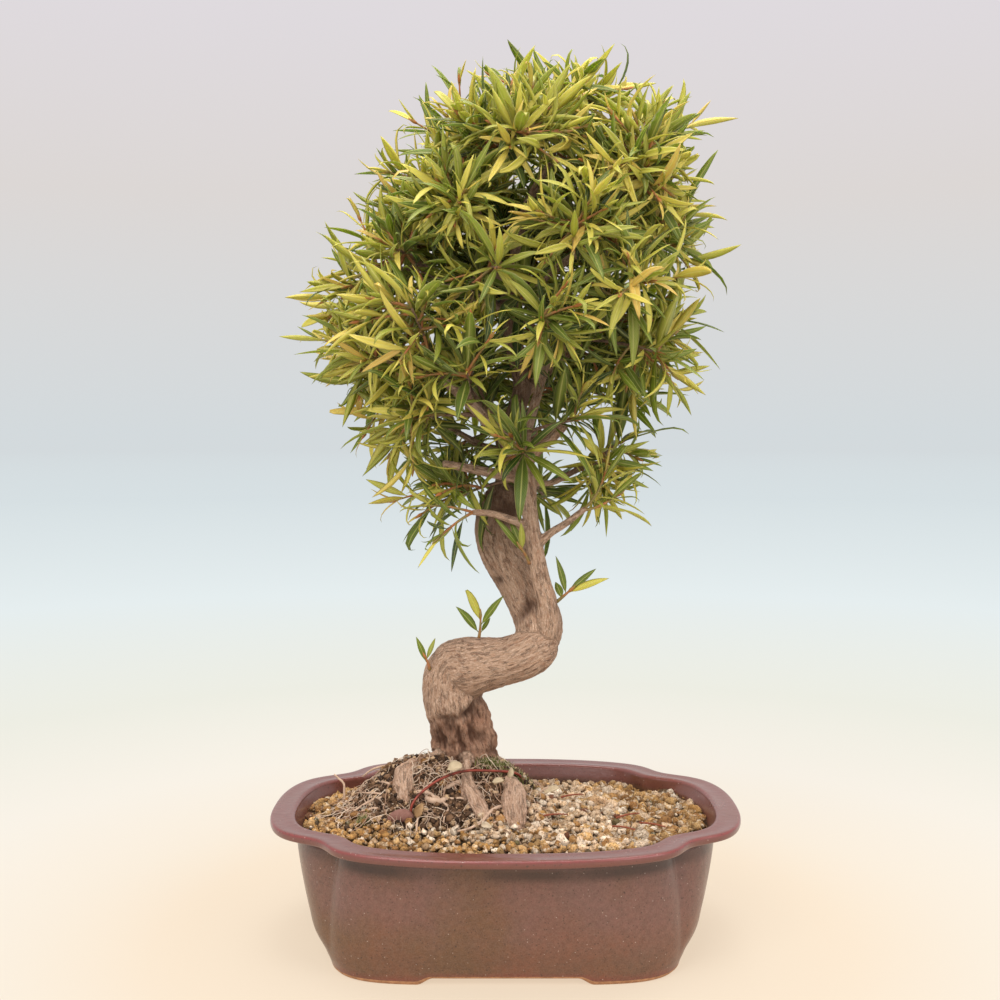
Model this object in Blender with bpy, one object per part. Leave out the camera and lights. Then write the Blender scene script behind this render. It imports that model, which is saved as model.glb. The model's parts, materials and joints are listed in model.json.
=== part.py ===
# Willow leaf fig bonsai in its glazed mokko pot.
# Lengths are in millimetres and become metres where a mesh is made.
# X runs along the pot, Y from front to back, Z up. The origin is on the
# ground under the middle of the pot.

import math

import bmesh
import bpy
import numpy as np
from mathutils import Matrix, Vector
from mathutils.bvhtree import BVHTree
from mathutils.geometry import delaunay_2d_cdt

MM = 0.001
GAP = 0.3

# Pot: half sizes of its plan at each height, and its four corner folds.
RIM_HALF_X = 138.5
RIM_HALF_Y = 105.0
POT_HEIGHT = 76.0
RIM_WIDTH = 14.5
RIM_THICK = 4.5
RIM_ROUND = 1.2
RIM_UNDERCUT = 3.0
BODY_HALF_X = 124.3
BODY_HALF_Y = 92.0
BASE_HALF_X = 102.5
BASE_HALF_Y = 80.5
WALL_PROFILE = ((9.0, 0.0), (13.5, 0.22), (21.0, 0.40), (40.0, 0.68), (70.0, 1.0))
FOOT_TAPER = 3.0
FOOT_WIDTH = 12.0
FOOT_RAISE = 3.5
FOOT_ANGLE = 41.0
FOOT_SPREAD = 17.0
FOOT_RAMP = 5.0
FOOT_EDGE = 1.5
WALL_FOOT = 8.5
WALL_TOP = 3.5
FLOOR_TOP = 9.5
INNER_LEVELS = (FLOOR_TOP, 40.0, 69.5)
RIM_SQUARENESS = 2.5
BASE_SQUARENESS = 3.6
FOLD_ANGLE = 34.0
FOLD_WIDTH = 8.0
RIM_FOLD = 0.070
WALL_FOLD = 0.056
BASE_FOLD = 0.020
POT_SIDES = 60
HOLE_RADIUS = 8.0
HOLE_SIDES = 14
HOLE_X = 52.0

# Drainage screens over the two holes.
SCREEN_SIZE = 26.0
SCREEN_THICK = 0.8
SCREEN_HOLE = 8.0
SCREEN_PITCH = 11.0

# Soil: a bed that rises to the front, with the root mound on its left.
SOIL_MIDDLE = 69.5
SOIL_TILT = -0.045
SOIL_EDGE_DROP = 2.0
MOUND_X = -35.0
MOUND_Y = 6.0
MOUND_HEIGHT = 29.0
MOUND_HALF_X = 54.0
MOUND_HALF_Y = 42.0
MOUND_POWER = 1.3
GRAIN_STEP = 10.0
GRAIN_RELIEF = 1.3
GRAIN_SHIFT = 1.2
GRAIN_ROW = 8.7
GRAIN_MARGIN = 5.5

# Trunk: rows of x, y, z and radius. Three overlapping stretches turn the
# trunk to the right and then up, and the leader carries on from the last.
LOWER_TRUNK = (
    (-24, 14, 62, 22.5), (-24, 15, 80, 21.5), (-24, 15, 94, 20.9), (-25, 15, 107, 19.3),
    (-29, 13, 124, 18.3), (-33, 10, 142, 18.1), (-33, 8, 158, 15.0), (-32, 7, 167, 8.0),
)
SWING = (
    (-45, 9, 151, 6.5), (-39, 8, 153, 12.8), (-31, 7, 156, 16.9), (-19, 3, 158, 17.2),
    (-2, -4, 162, 14.5), (10, -8, 166, 14.1), (19, -9, 171, 13.3), (25, -8, 174, 9.6),
    (29, -8, 177, 4.6),
)
RISE = (
    (21, -7, 164, 6.0), (20, -6, 172, 11.9), (20, -3, 183, 14.4), (16, 3, 195, 14.2),
    (8, 9, 210, 14.0), (0, 14, 224, 14.7), (-4, 18, 237, 15.1), (-4, 19, 248, 13.9),
    (-3, 18, 257, 11.1), (0, 17, 266, 6.5),
)
LEADER = (
    (-3, 19, 246, 9.0), (-1, 18, 262, 5.6), (-1, 18, 278, 5.2), (0, 18, 294, 5.8),
    (6, 17, 311, 5.8), (10, 15, 328, 5.5), (6, 12, 349, 5.5), (3, 10, 370, 5.8), (1, 9, 389, 4.8),
)
FRONT_STEM = (
    (22, -9, 171, 5.0), (25, -13, 183, 6.0), (25, -16, 197, 6.3), (21, -18, 212, 5.6),
    (17, -18, 234, 5.0), (14, -16, 254, 5.0), (12, -15, 269, 6.4), (9, -13, 281, 5.2),
    (11, -9, 294, 3.8), (16, -5, 311, 3.1), (22, -4, 331, 2.6), (28, -6, 354, 2.1),
)

# Limbs that show in the open lower crown, and the ones that fill its back.
LIMBS = {
    "top_left": (
        (1, 9, 386, 4.6), (-5, 6, 399, 4.2), (-11, 4, 412, 3.6), (-17, 0, 430, 3.0), (-21, -4, 450, 2.3),
    ),
    "top_right": (
        (1, 9, 386, 4.2), (5, 12, 401, 3.7), (8, 14, 420, 3.3), (16, 14, 444, 2.8), (28, 10, 464, 2.2),
    ),
    "low_left": ((9, -14, 272, 3.5), (-3, -18, 274, 3.1), (-21, -26, 278, 2.6), (-36, -32, 281, 2.1)),
    "rear_left": ((9, -8, 281, 3.0), (-3, 4, 286, 2.7), (-17, 16, 292, 2.3), (-35, 30, 302, 1.9)),
    "stub": (
        (9, -12, 281, 4.4), (0, -18, 294, 3.9), (-9, -24, 303, 3.5), (-20, -32, 315, 3.1),
        (-36, -43, 329, 2.5),
    ),
    "up_right": ((10, -12, 278, 4.1), (20, -20, 290, 3.5), (28, -27, 297, 3.2), (34, -33, 303, 2.6)),
    "low_right": ((15, -12, 269, 2.4), (28, -6, 269, 2.0), (43, 2, 276, 1.7), (58, 10, 281, 1.5)),
    "lowest_left": ((14, -17, 243, 2.8), (3, -24, 248, 2.4), (-9, -30, 252, 2.1), (-19, -35, 253, 1.7)),
    "lowest_right": ((19, -18, 233, 2.9), (26, -22, 240, 2.4), (35, -27, 246, 2.1), (46, -32, 255, 1.7)),
    "back_left": (
        (0, 18, 291, 5.2), (-7, 26, 308, 4.7), (-14, 34, 320, 4.1), (-24, 44, 337, 3.2), (-38, 50, 356, 2.3),
    ),
    "right_mid": ((8, 16, 319, 3.9), (25, 22, 336, 3.2), (44, 26, 352, 2.6), (64, 28, 366, 2.0)),
    "right_up": ((2, 10, 373, 3.7), (18, 4, 388, 3.1), (36, -6, 401, 2.5), (56, -14, 413, 1.9)),
    "left_up": ((2, 10, 369, 3.4), (-15, 4, 379, 2.9), (-33, -4, 388, 2.4), (-52, -10, 397, 1.9)),
    "back_up": ((2, 11, 354, 3.9), (4, 28, 372, 3.3), (8, 42, 395, 2.7), (13, 48, 420, 2.1)),
    "back_low": ((-1, 18, 270, 4.6), (4, 34, 276, 3.6), (12, 48, 286, 2.7), (20, 58, 300, 2.0)),
}

# Surface roots, from inside the trunk to where they dive under the grains.
ROOTS = {
    "front": (
        (-23, 0, 108, 5.5), (-23, -13, 98, 4.2), (-22, -21, 91, 4.4),
        (-18, -29, 85, 3.9), (-13, -37, 79, 2.9), (-8, -45, 72, 1.6),
    ),
    "right": (
        (-14, 2, 98, 8.0), (0, -11, 94, 6.2), (5, -22, 89, 6.0),
        (6, -32, 82, 5.6), (7, -39, 75, 4.5), (7, -44, 67, 3.0),
    ),
    "left": (
        (-36, 3, 103, 7.5), (-50, -4, 100, 4.4), (-58, -12, 96, 4.3),
        (-59, -20, 91, 4.0), (-57, -30, 83, 3.0), (-54, -40, 73, 1.8),
    ),
    "far_left": (
        (-42, 10, 98, 6.0), (-62, 10, 95, 3.6), (-76, 2, 88, 2.8), (-88, -8, 77, 2.0), (-96, -14, 69, 1.2),
    ),
    "back": ((-30, 28, 94, 6.5), (-36, 44, 83, 4.4), (-44, 56, 74, 3.0), (-50, 66, 65, 1.6)),
    "back_right": ((-8, 24, 93, 6.5), (8, 34, 80, 4.6), (22, 42, 72, 3.2), (32, 48, 65, 1.8)),
}

# Tie wire over the roots.
WIRE_ROUTE = (
    (-46, -38, 74), (-46, -38, 84), (-44, -35.5, 91), (-38.5, -31, 96.5), (-30, -28, 99.5), (-20, -27.5, 101),
    (-8, -29, 100.5), (2, -31, 99), (10, -32, 94.5), (14.5, -33, 86), (15.5, -33, 75),
)
WIRE_RADIUS = 0.9

# Crown: left and right edge of its outline at each height, from the front.
CROWN_OUTLINE = (
    (236, -50, 52), (255, -64, 72), (285, -84, 95), (310, -100, 112), (345, -119, 123), (380, -124, 128),
    (410, -100, 127), (440, -90, 124), (470, -72, 120), (495, -56, 114), (512, -36, 102), (530, -10, 76),
)
CROWN_DEPTH = 0.84
CROWN_ROUNDNESS = 2.3
CROWN_CENTRE = (6.0, 2.0, 375.0)
OUTER_SPRAYS = 39
INNER_SPRAYS = 5
INNER_SHARE = 0.50
LEAF_REACH = 27.0
TWIG_LENGTH = 46.0
TWIG_RADIUS = 1.0
BRANCH_RADIUS = 1.25
GROW_STEP = 18.0
READ_STEP = 2.0
TARGET_SPREAD = 0.06
TARGET_TRIES = 30
FORK_EVERY = 4
# What makes wood a poor place to fork from: its own length, lying above the
# target or lying closer to it than a twig.
STEM_COST = 14.0
PATH_COST = 0.6
ABOVE_MARGIN = 12.0
ABOVE_COST = 0.6
NEAR_SHARE = 0.8
NEAR_COST = 60.0
SEED = 5

# Leaves
LEAF_LENGTH = (38.0, 52.0)
LEAF_WIDTH = (4.6, 8.4)
LEAF_THICK = 1.1
LEAVES_PER_SPRAY = 6
LEAF_SECTIONS = ((0.0, 0.16), (0.36, 1.0), (0.72, 0.70))
FIRST_LEAF = 0.28
LEAF_RUN = 0.70
LEAF_TILT = ((0.2, 0.9, 1.0), (68.0, 44.0, 14.0))
LEAF_TRIES = 14
TURNS_TRIED = 7
TURN_STEP = 0.75
TILT_STEP = 6.0
SHORTER_FROM = 9
SHORTER_SHARE = 0.85
SMALLEST_LEAF = 15.0
CLEARANCE = 0.7
GOLDEN_ANGLE = math.pi * (3.0 - math.sqrt(5.0))

# Sprouts on the bare trunk: a point near the foot, direction, twig length, leaf lengths.
SPROUTS = {
    "sprout_elbow": ((-15.0, -3.5, 177.5), (0.02, -0.15, 1.0), 13.0, (26.0, 24.0, 21.0)),
    "sprout_left": ((-45.5, -3.0, 161.0), (-0.35, -0.3, 1.0), 8.0, (15.0, 13.0)),
    "sprout_right": ((31.6, -17.0, 201.0), (0.75, -0.35, 0.75), 10.0, (27.0, 22.0, 16.0)),
    "sprout_stem": ((12.6, -24.0, 227.0), (-0.55, -0.45, 0.75), 9.0, (25.0, 22.0, 17.0)),
}
SPROUT_NECK = 2.5
SPROUT_RADII = (1.0, 0.95, 0.8, 0.7)

# Colours, roughness and metallic value of each material.
FINISHES = {
    "glaze": ((0.150, 0.062, 0.055), 0.30, 0.0),
    "grains": ((0.480, 0.290, 0.130), 0.95, 0.0),
    "bark": ((0.360, 0.215, 0.140), 0.85, 0.0),
    "leaf": ((0.180, 0.270, 0.035), 0.45, 0.0),
    "copper": ((0.420, 0.120, 0.060), 0.40, 1.0),
    "mesh_plastic": ((0.020, 0.020, 0.020), 0.60, 0.0),
}


def clear_scene():
    """Empties the file of its start objects."""
    for item in list(bpy.data.objects):
        bpy.data.objects.remove(item)


def new_collection(name):
    """A collection linked to the scene."""
    group = bpy.data.collections.new(name)
    bpy.context.scene.collection.children.link(group)
    return group


def finish(name):
    """The material of that name, made once."""
    if name in bpy.data.materials:
        return bpy.data.materials[name]
    colour, roughness, metallic = FINISHES[name]
    material = bpy.data.materials.new(name)
    material.use_nodes = True
    shader = material.node_tree.nodes["Principled BSDF"]
    shader.inputs["Base Color"].default_value = (*colour, 1.0)
    shader.inputs["Roughness"].default_value = roughness
    shader.inputs["Metallic"].default_value = metallic
    return material


def mesh_object(name, points, faces, group):
    """An object from points in millimetres and their faces."""
    mesh = bpy.data.meshes.new(name)
    mesh.from_pydata([tuple(MM * float(v) for v in point) for point in points], [], faces)
    item = bpy.data.objects.new(name, mesh)
    group.objects.link(item)
    return item


def loft_faces(rings, sides, first_cap=True, last_cap=True, back_lean=False):
    """Triangles between rings of equal length, and flat caps on the first and last ring.

    Each quad is split along the same diagonal, or along the other one with back_lean.
    """
    faces = []
    for ring in range(rings - 1):
        low = ring * sides
        high = low + sides
        for side in range(sides):
            after = (side + 1) % sides
            if back_lean:
                faces.append((low + side, low + after, high + side))
                faces.append((low + after, high + after, high + side))
            else:
                faces.append((low + side, low + after, high + after))
                faces.append((low + side, high + after, high + side))
    if first_cap:
        faces.append(tuple(reversed(range(sides))))
    if last_cap:
        faces.append(tuple(range((rings - 1) * sides, rings * sides)))
    return faces


def recalculate(item):
    """Turns every face of a closed mesh outwards."""
    work = bmesh.new()
    work.from_mesh(item.data)
    bmesh.ops.remove_doubles(work, verts=work.verts, dist=1e-6)
    bmesh.ops.recalc_face_normals(work, faces=work.faces)
    work.to_mesh(item.data)
    work.free()


def boolean(item, operation, cutter=None, group=None):
    """Cuts or joins item with one object or a collection, and applies it."""
    modifier = item.modifiers.new(operation.title(), "BOOLEAN")
    modifier.operation = operation
    modifier.solver = "EXACT"
    if group is None:
        modifier.operand_type = "OBJECT"
        modifier.object = cutter
    else:
        modifier.operand_type = "COLLECTION"
        modifier.collection = group
    bpy.context.view_layer.update()
    depsgraph = bpy.context.evaluated_depsgraph_get()
    mesh = bpy.data.meshes.new_from_object(item.evaluated_get(depsgraph))
    item.modifiers.clear()
    item.data = mesh


def empty_collection(group):
    """Removes a collection with all its objects."""
    for item in list(group.objects):
        bpy.data.objects.remove(item)
    bpy.data.collections.remove(group)


def smooth_path(rows, step):
    """A Catmull-Rom curve through rows of numbers, read about every step millimetres."""
    rows = np.asarray(rows, float)
    padded = np.vstack([2 * rows[0] - rows[1], rows, 2 * rows[-1] - rows[-2]])
    path = [rows[0]]
    for index in range(len(rows) - 1):
        before, start, end, after = padded[index:index + 4]
        span = np.linalg.norm(end[:3] - start[:3])
        count = max(1, round(span / step))
        for share in np.arange(1, count + 1) / count:
            path.append(
                0.5 * (2 * start + (end - before) * share
                       + (2 * before - 5 * start + 4 * end - after) * share ** 2
                       + (3 * start - before - 3 * end + after) * share ** 3)
            )
    return np.array(path)


def tube(name, rows, sides, group, grow=0.0):
    """A round bar through rows of x, y, z and radius, with closed ends, as a mesh object."""
    curve = bpy.data.curves.new(name, "CURVE")
    curve.dimensions = "3D"
    curve.bevel_depth = MM
    curve.bevel_resolution = (sides - 4) // 2
    curve.use_fill_caps = True
    spline = curve.splines.new("POLY")
    spline.points.add(len(rows) - 1)
    for point, (x, y, z, radius) in zip(spline.points, rows):
        point.co = (x * MM, y * MM, z * MM, 1.0)
        point.radius = max(radius + grow, 0.2)
    guide = bpy.data.objects.new(name + "_guide", curve)
    group.objects.link(guide)
    bpy.context.view_layer.update()
    depsgraph = bpy.context.evaluated_depsgraph_get()
    mesh = bpy.data.meshes.new_from_object(guide.evaluated_get(depsgraph))
    item = bpy.data.objects.new(name, mesh)
    item.matrix_world = guide.matrix_world
    group.objects.link(item)
    bpy.data.objects.remove(guide)
    bpy.data.curves.remove(curve)
    recalculate(item)
    return item


def mokko_outline(half_x, half_y, squareness, fold, sides=POT_SIDES):
    """The pot's plan: a superellipse drawn in by a fold at each of its four corners."""
    turn = np.arange(sides) * 2 * math.pi / sides
    reach = (np.abs(np.cos(turn) / half_x) ** squareness + np.abs(np.sin(turn) / half_y) ** squareness)
    reach = reach ** (-1 / squareness)
    corner = math.radians(FOLD_ANGLE)
    for place in (corner, math.pi - corner, math.pi + corner, -corner):
        away = (turn - place + math.pi) % (2 * math.pi) - math.pi
        reach = reach * (1 - fold * np.exp(-((away / math.radians(FOLD_WIDTH)) ** 2)))
    return np.stack([reach * np.cos(turn), reach * np.sin(turn)], axis=1)


def foot_height(sides=POT_SIDES):
    """How far the base's edge is raised at each side: nothing at the four feet."""
    turn = np.degrees(np.arange(sides) * 2 * math.pi / sides)
    away = np.abs(np.abs((turn + 90) % 180 - 90) - FOOT_ANGLE)
    return FOOT_RAISE * np.clip((away - FOOT_SPREAD) / FOOT_RAMP, 0, 1)


def wall_section(height):
    """Half sizes, squareness and fold of the outer wall at a height."""
    share = np.interp(height, *np.array(WALL_PROFILE).T)
    return (
        BASE_HALF_X + (BODY_HALF_X - BASE_HALF_X) * share,
        BASE_HALF_Y + (BODY_HALF_Y - BASE_HALF_Y) * share,
        BASE_SQUARENESS + (RIM_SQUARENESS - BASE_SQUARENESS) * share,
        BASE_FOLD + (WALL_FOLD - BASE_FOLD) * share,
    )


def inner_outline(height, gap):
    """The pot's inside at a height, drawn in by a gap."""
    half_x, half_y, squareness, fold = wall_section(height)
    share = (height - FLOOR_TOP) / (INNER_LEVELS[-1] - FLOOR_TOP)
    inset = WALL_FOOT + (WALL_TOP - WALL_FOOT) * share + gap
    return mokko_outline(half_x - inset, half_y - inset, squareness, fold)


def inner_wall(heights, gap=0.0):
    """The inside's plan where each side has its own height, straight between the wall's rings."""
    heights = np.broadcast_to(np.asarray(heights, float), (POT_SIDES,))
    rings = np.array([inner_outline(level, gap) for level in INNER_LEVELS])
    place = np.clip(heights, INNER_LEVELS[0], INNER_LEVELS[-1])
    upper = np.clip(np.searchsorted(INNER_LEVELS, place), 1, len(INNER_LEVELS) - 1)
    levels = np.array(INNER_LEVELS)
    share = (place - levels[upper - 1]) / (levels[upper] - levels[upper - 1])
    side = np.arange(POT_SIDES)
    low = rings[upper - 1, side]
    return low + share[:, None] * (rings[upper, side] - low)


def build_pot(group, cutters):
    """The pot: rings from the middle of its base, up the wall, over the rim and down inside."""
    rings = []

    def ring(outline, height):
        level = np.broadcast_to(height, (POT_SIDES,))
        rings.append(np.column_stack([outline, level]))

    foot = foot_height()
    base = (BASE_HALF_X - FOOT_TAPER, BASE_HALF_Y - FOOT_TAPER)
    inside = FOOT_WIDTH + FOOT_EDGE
    ring(mokko_outline(base[0] - inside, base[1] - inside, BASE_SQUARENESS, BASE_FOLD), FOOT_RAISE)
    ring(mokko_outline(base[0] - FOOT_WIDTH, base[1] - FOOT_WIDTH, BASE_SQUARENESS, BASE_FOLD), foot)
    ring(mokko_outline(base[0], base[1], BASE_SQUARENESS, BASE_FOLD), foot)
    for level, _ in WALL_PROFILE:
        ring(mokko_outline(*wall_section(level)), level)
    under_rim = POT_HEIGHT - RIM_THICK
    lip = (RIM_HALF_X, RIM_HALF_Y, RIM_SQUARENESS, RIM_FOLD)
    ring(mokko_outline(lip[0] - RIM_UNDERCUT, lip[1] - RIM_UNDERCUT, *lip[2:]), under_rim)
    ring(mokko_outline(*lip), under_rim + RIM_ROUND)
    ring(mokko_outline(*lip), POT_HEIGHT - RIM_ROUND)
    ring(mokko_outline(lip[0] - RIM_ROUND, lip[1] - RIM_ROUND, *lip[2:]), POT_HEIGHT)
    ring(mokko_outline(lip[0] - RIM_WIDTH, lip[1] - RIM_WIDTH, *lip[2:]), POT_HEIGHT)
    for level in reversed(INNER_LEVELS):
        ring(inner_wall(level), level)
    points = np.vstack(rings)
    pot = mesh_object("pot", points, loft_faces(len(rings), POT_SIDES), group)
    recalculate(pot)
    for side in (-1, 1):
        bpy.ops.mesh.primitive_cylinder_add(
            vertices=HOLE_SIDES, radius=HOLE_RADIUS * MM, depth=4 * FLOOR_TOP * MM,
            location=(side * HOLE_X * MM, 0, FLOOR_TOP / 2 * MM),
        )
        drill = bpy.context.object
        keep_as_cutter(drill, cutters)
        boolean(pot, "DIFFERENCE", drill)
    pot.data.materials.append(finish("glaze"))
    return pot


def keep_as_cutter(item, cutters):
    """Moves an object to the cutters, out of the render and drawn as wire."""
    for group in list(item.users_collection):
        group.objects.unlink(item)
    cutters.objects.link(item)
    item.hide_render = True
    item.display_type = "WIRE"


def build_screens(group):
    """A square of plastic mesh over each drain hole: a plate with square openings in rows."""
    for number, side in enumerate((-1, 1), start=1):
        middle = Vector((side * HOLE_X, 0, FLOOR_TOP + GAP + SCREEN_THICK / 2))
        bpy.ops.mesh.primitive_cube_add(size=1, location=middle * MM)
        plate = bpy.context.object
        plate.name = f"drain_screen_{number}"
        plate.data.transform(Matrix.Diagonal((SCREEN_SIZE * MM, SCREEN_SIZE * MM, SCREEN_THICK * MM, 1)))
        for old in list(plate.users_collection):
            old.objects.unlink(plate)
        group.objects.link(plate)
        punches = new_collection(f"punches_{number}")
        for row in (-0.5, 0.5):
            for column in (-0.5, 0.5):
                place = middle + Vector((row * SCREEN_PITCH, column * SCREEN_PITCH, 0))
                bpy.ops.mesh.primitive_cube_add(size=SCREEN_HOLE * MM, location=place * MM)
                punch = bpy.context.object
                keep_as_cutter(punch, punches)
        boolean(plate, "DIFFERENCE", group=punches)
        empty_collection(punches)
        plate.data.materials.append(finish("mesh_plastic"))


def soil_height(x, y):
    """The bed's level: a slope that rises to the front, and the root mound."""
    reach = ((x - MOUND_X) / MOUND_HALF_X) ** 2 + ((y - MOUND_Y) / MOUND_HALF_Y) ** 2
    mound = MOUND_HEIGHT * np.exp(-(reach ** MOUND_POWER))
    return SOIL_MIDDLE + SOIL_TILT * y + mound


def build_soil(group, cutters, trunk_cutters):
    """The filled bed: the pot's inside as rings, and a top of grains laid on a staggered grid."""
    draw = np.random.default_rng(SEED)
    low = FLOOR_TOP + GAP
    levels = (low, INNER_LEVELS[1])
    rings = [np.column_stack([inner_wall(level, GAP), np.full(POT_SIDES, level)]) for level in levels]
    edge = inner_wall(SOIL_MIDDLE, GAP)
    edge_height = soil_height(edge[:, 0], edge[:, 1]) - SOIL_EDGE_DROP
    edge = inner_wall(edge_height, GAP)
    rings.append(np.column_stack([edge, edge_height]))
    points = [tuple(row) for row in np.vstack(rings)]
    faces = loft_faces(len(rings), POT_SIDES, last_cap=False, back_lean=True)
    grid = []
    rows = int(2 * BODY_HALF_Y / GRAIN_ROW) + 1
    for row in range(rows):
        y = -BODY_HALF_Y + row * GRAIN_ROW
        for column in range(int(2 * BODY_HALF_X / GRAIN_STEP) + 2):
            x = -BODY_HALF_X + (column + 0.5 * (row % 2)) * GRAIN_STEP
            shift = draw.uniform(-GRAIN_SHIFT, GRAIN_SHIFT, 2)
            grid.append((x + shift[0], y + shift[1]))
    grid = np.array(grid)
    turn = np.arctan2(grid[:, 1], grid[:, 0])
    reach = np.interp(turn, *sorted_outline(edge))
    grid = grid[np.hypot(grid[:, 0], grid[:, 1]) < reach - GRAIN_MARGIN]
    flat = [Vector(point) for point in edge] + [Vector(point) for point in grid]
    border = [(side, (side + 1) % POT_SIDES) for side in range(POT_SIDES)]
    _, _, triangles, *_ = delaunay_2d_cdt(flat, border, [], 1, 1e-5)
    offset = (len(rings) - 1) * POT_SIDES
    relief = draw.uniform(-1, 1, len(grid)) * GRAIN_RELIEF
    heights = soil_height(grid[:, 0], grid[:, 1]) + relief
    points += [(x, y, z) for (x, y), z in zip(grid, heights)]
    faces += [tuple(offset + corner for corner in triangle) for triangle in triangles]
    soil = mesh_object("soil", points, faces, group)
    recalculate(soil)
    for side in (-1, 1):
        bpy.ops.mesh.primitive_cube_add(size=1, location=(side * HOLE_X * MM, 0, FLOOR_TOP * MM))
        pocket = bpy.context.object
        width = (SCREEN_SIZE + 2 * GAP) * MM
        pocket.data.transform(Matrix.Diagonal((width, width, 2 * (2 * GAP + SCREEN_THICK) * MM, 1)))
        keep_as_cutter(pocket, cutters)
        boolean(soil, "DIFFERENCE", pocket)
    for cutter in trunk_cutters:
        keep_as_cutter(cutter, cutters)
        boolean(soil, "DIFFERENCE", cutter)
    keep_largest(soil)
    soil.data.materials.append(finish("grains"))
    return soil


def sorted_outline(outline):
    """An outline's directions, in rising order, and its reach in each."""
    turn = np.arctan2(outline[:, 1], outline[:, 0])
    order = np.argsort(turn)
    reach = np.hypot(outline[:, 0], outline[:, 1])[order]
    turn = turn[order]
    turn = np.concatenate([turn[-1:] - 2 * math.pi, turn, turn[:1] + 2 * math.pi])
    reach = np.concatenate([reach[-1:], reach, reach[:1]])
    return turn, reach


def keep_largest(item):
    """Drops loose scraps, and leaves the one body with the most faces."""
    work = bmesh.new()
    work.from_mesh(item.data)
    left = set(work.verts)
    bodies = []
    while left:
        body = set()
        front = [left.pop()]
        while front:
            vertex = front.pop()
            body.add(vertex)
            for edge in vertex.link_edges:
                other = edge.other_vert(vertex)
                if other in left:
                    left.discard(other)
                    front.append(other)
        bodies.append(body)
    bodies.sort(key=len)
    for body in bodies[:-1]:
        bmesh.ops.delete(work, geom=list(body), context="VERTS")
    work.to_mesh(item.data)
    work.free()


def crown_edge(height):
    """Left, right and half depth of the crown at a height."""
    table = np.array(CROWN_OUTLINE, float)
    left = np.interp(height, table[:, 0], table[:, 1])
    right = np.interp(height, table[:, 0], table[:, 2])
    return left, right, (right - left) / 2 * CROWN_DEPTH


def crown_reach(direction):
    """How far the crown's surface is from its centre in a direction, by halving."""
    centre = np.array(CROWN_CENTRE)
    near, far = 0.0, 300.0
    for _ in range(24):
        middle = (near + far) / 2
        x, y, z = centre + middle * direction
        inside = CROWN_OUTLINE[0][0] < z < CROWN_OUTLINE[-1][0]
        if inside:
            left, right, depth = crown_edge(z)
            across = abs((x - (left + right) / 2) / ((right - left) / 2)) ** CROWN_ROUNDNESS
            inside = across + abs(y / depth) ** CROWN_ROUNDNESS < 1
        near, far = (middle, far) if inside else (near, middle)
    return near


def spray_targets():
    """Where each twig ends: spread evenly over the crown, some of them halfway in."""
    draw = np.random.default_rng(SEED)
    targets = []
    for count, share in ((OUTER_SPRAYS, 1.0), (INNER_SPRAYS, INNER_SHARE)):
        for number in range(count):
            up = 1 - 2 * (number + 0.5) / count
            flat = math.sqrt(1 - up * up)
            turn = number * GOLDEN_ANGLE
            direction = np.array((flat * math.cos(turn), flat * math.sin(turn), up))
            direction = direction + draw.uniform(-TARGET_SPREAD, TARGET_SPREAD, 3)
            direction /= np.linalg.norm(direction)
            reach = (crown_reach(direction) - LEAF_REACH) * share
            targets.append(np.array(CROWN_CENTRE) + reach * direction)
    return targets


def bezier(start, lean, end, count):
    """Points on the arc from start to end that sets out towards lean."""
    share = np.linspace(0, 1, count)[:, None]
    return (1 - share) ** 2 * start + 2 * share * (1 - share) * lean + share ** 2 * end


def densely(rows):
    """Rows of x, y, z and radius, read closely along their straight stretches."""
    along = np.concatenate([[0], np.cumsum(np.linalg.norm(np.diff(rows[:, :3], axis=0), axis=1))])
    stations = np.linspace(0, along[-1], max(2, round(along[-1] / READ_STEP)))
    return np.column_stack([np.interp(stations, along, rows[:, axis]) for axis in range(4)])


def spare_between(rows, others):
    """The narrowest gap between two sets of round bars, from rows read densely."""
    if len(others) == 0:
        return math.inf
    away = np.linalg.norm(rows[:, None, :3] - others[None, :, :3], axis=2)
    return float((away - rows[:, None, 3] - others[None, :, 3]).min())


def branch_to(target, start, outward):
    """A branch and its twig on one arc from start to target, as rows with radii."""
    reach = target - start
    length = np.linalg.norm(reach)
    lean = start + reach * 0.45 + np.array((0, 0, 0.10 * length)) + outward * 0.05 * length
    path = bezier(start, lean, target, 4 * max(4, round(length / GROW_STEP) + 1))
    along = np.concatenate([[0], np.cumsum(np.linalg.norm(np.diff(path, axis=0), axis=1))])
    split = max(along[-1] - TWIG_LENGTH, 0.30 * along[-1])
    parts = []
    for stations, radii in (
        (np.linspace(0, split, max(2, round(split / GROW_STEP) + 1)), (BRANCH_RADIUS * 1.5, BRANCH_RADIUS)),
        (np.linspace(split, along[-1], 4), (TWIG_RADIUS * 1.15, TWIG_RADIUS * 0.75)),
    ):
        rows = [np.interp(stations, along, path[:, axis]) for axis in range(3)]
        parts.append(np.column_stack([*rows, np.linspace(*radii, len(stations))]))
    branch, twig = parts
    step = twig[1, :3] - twig[0, :3]
    twig[0, :3] += GAP * step / np.linalg.norm(step)
    return branch, twig


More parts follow.
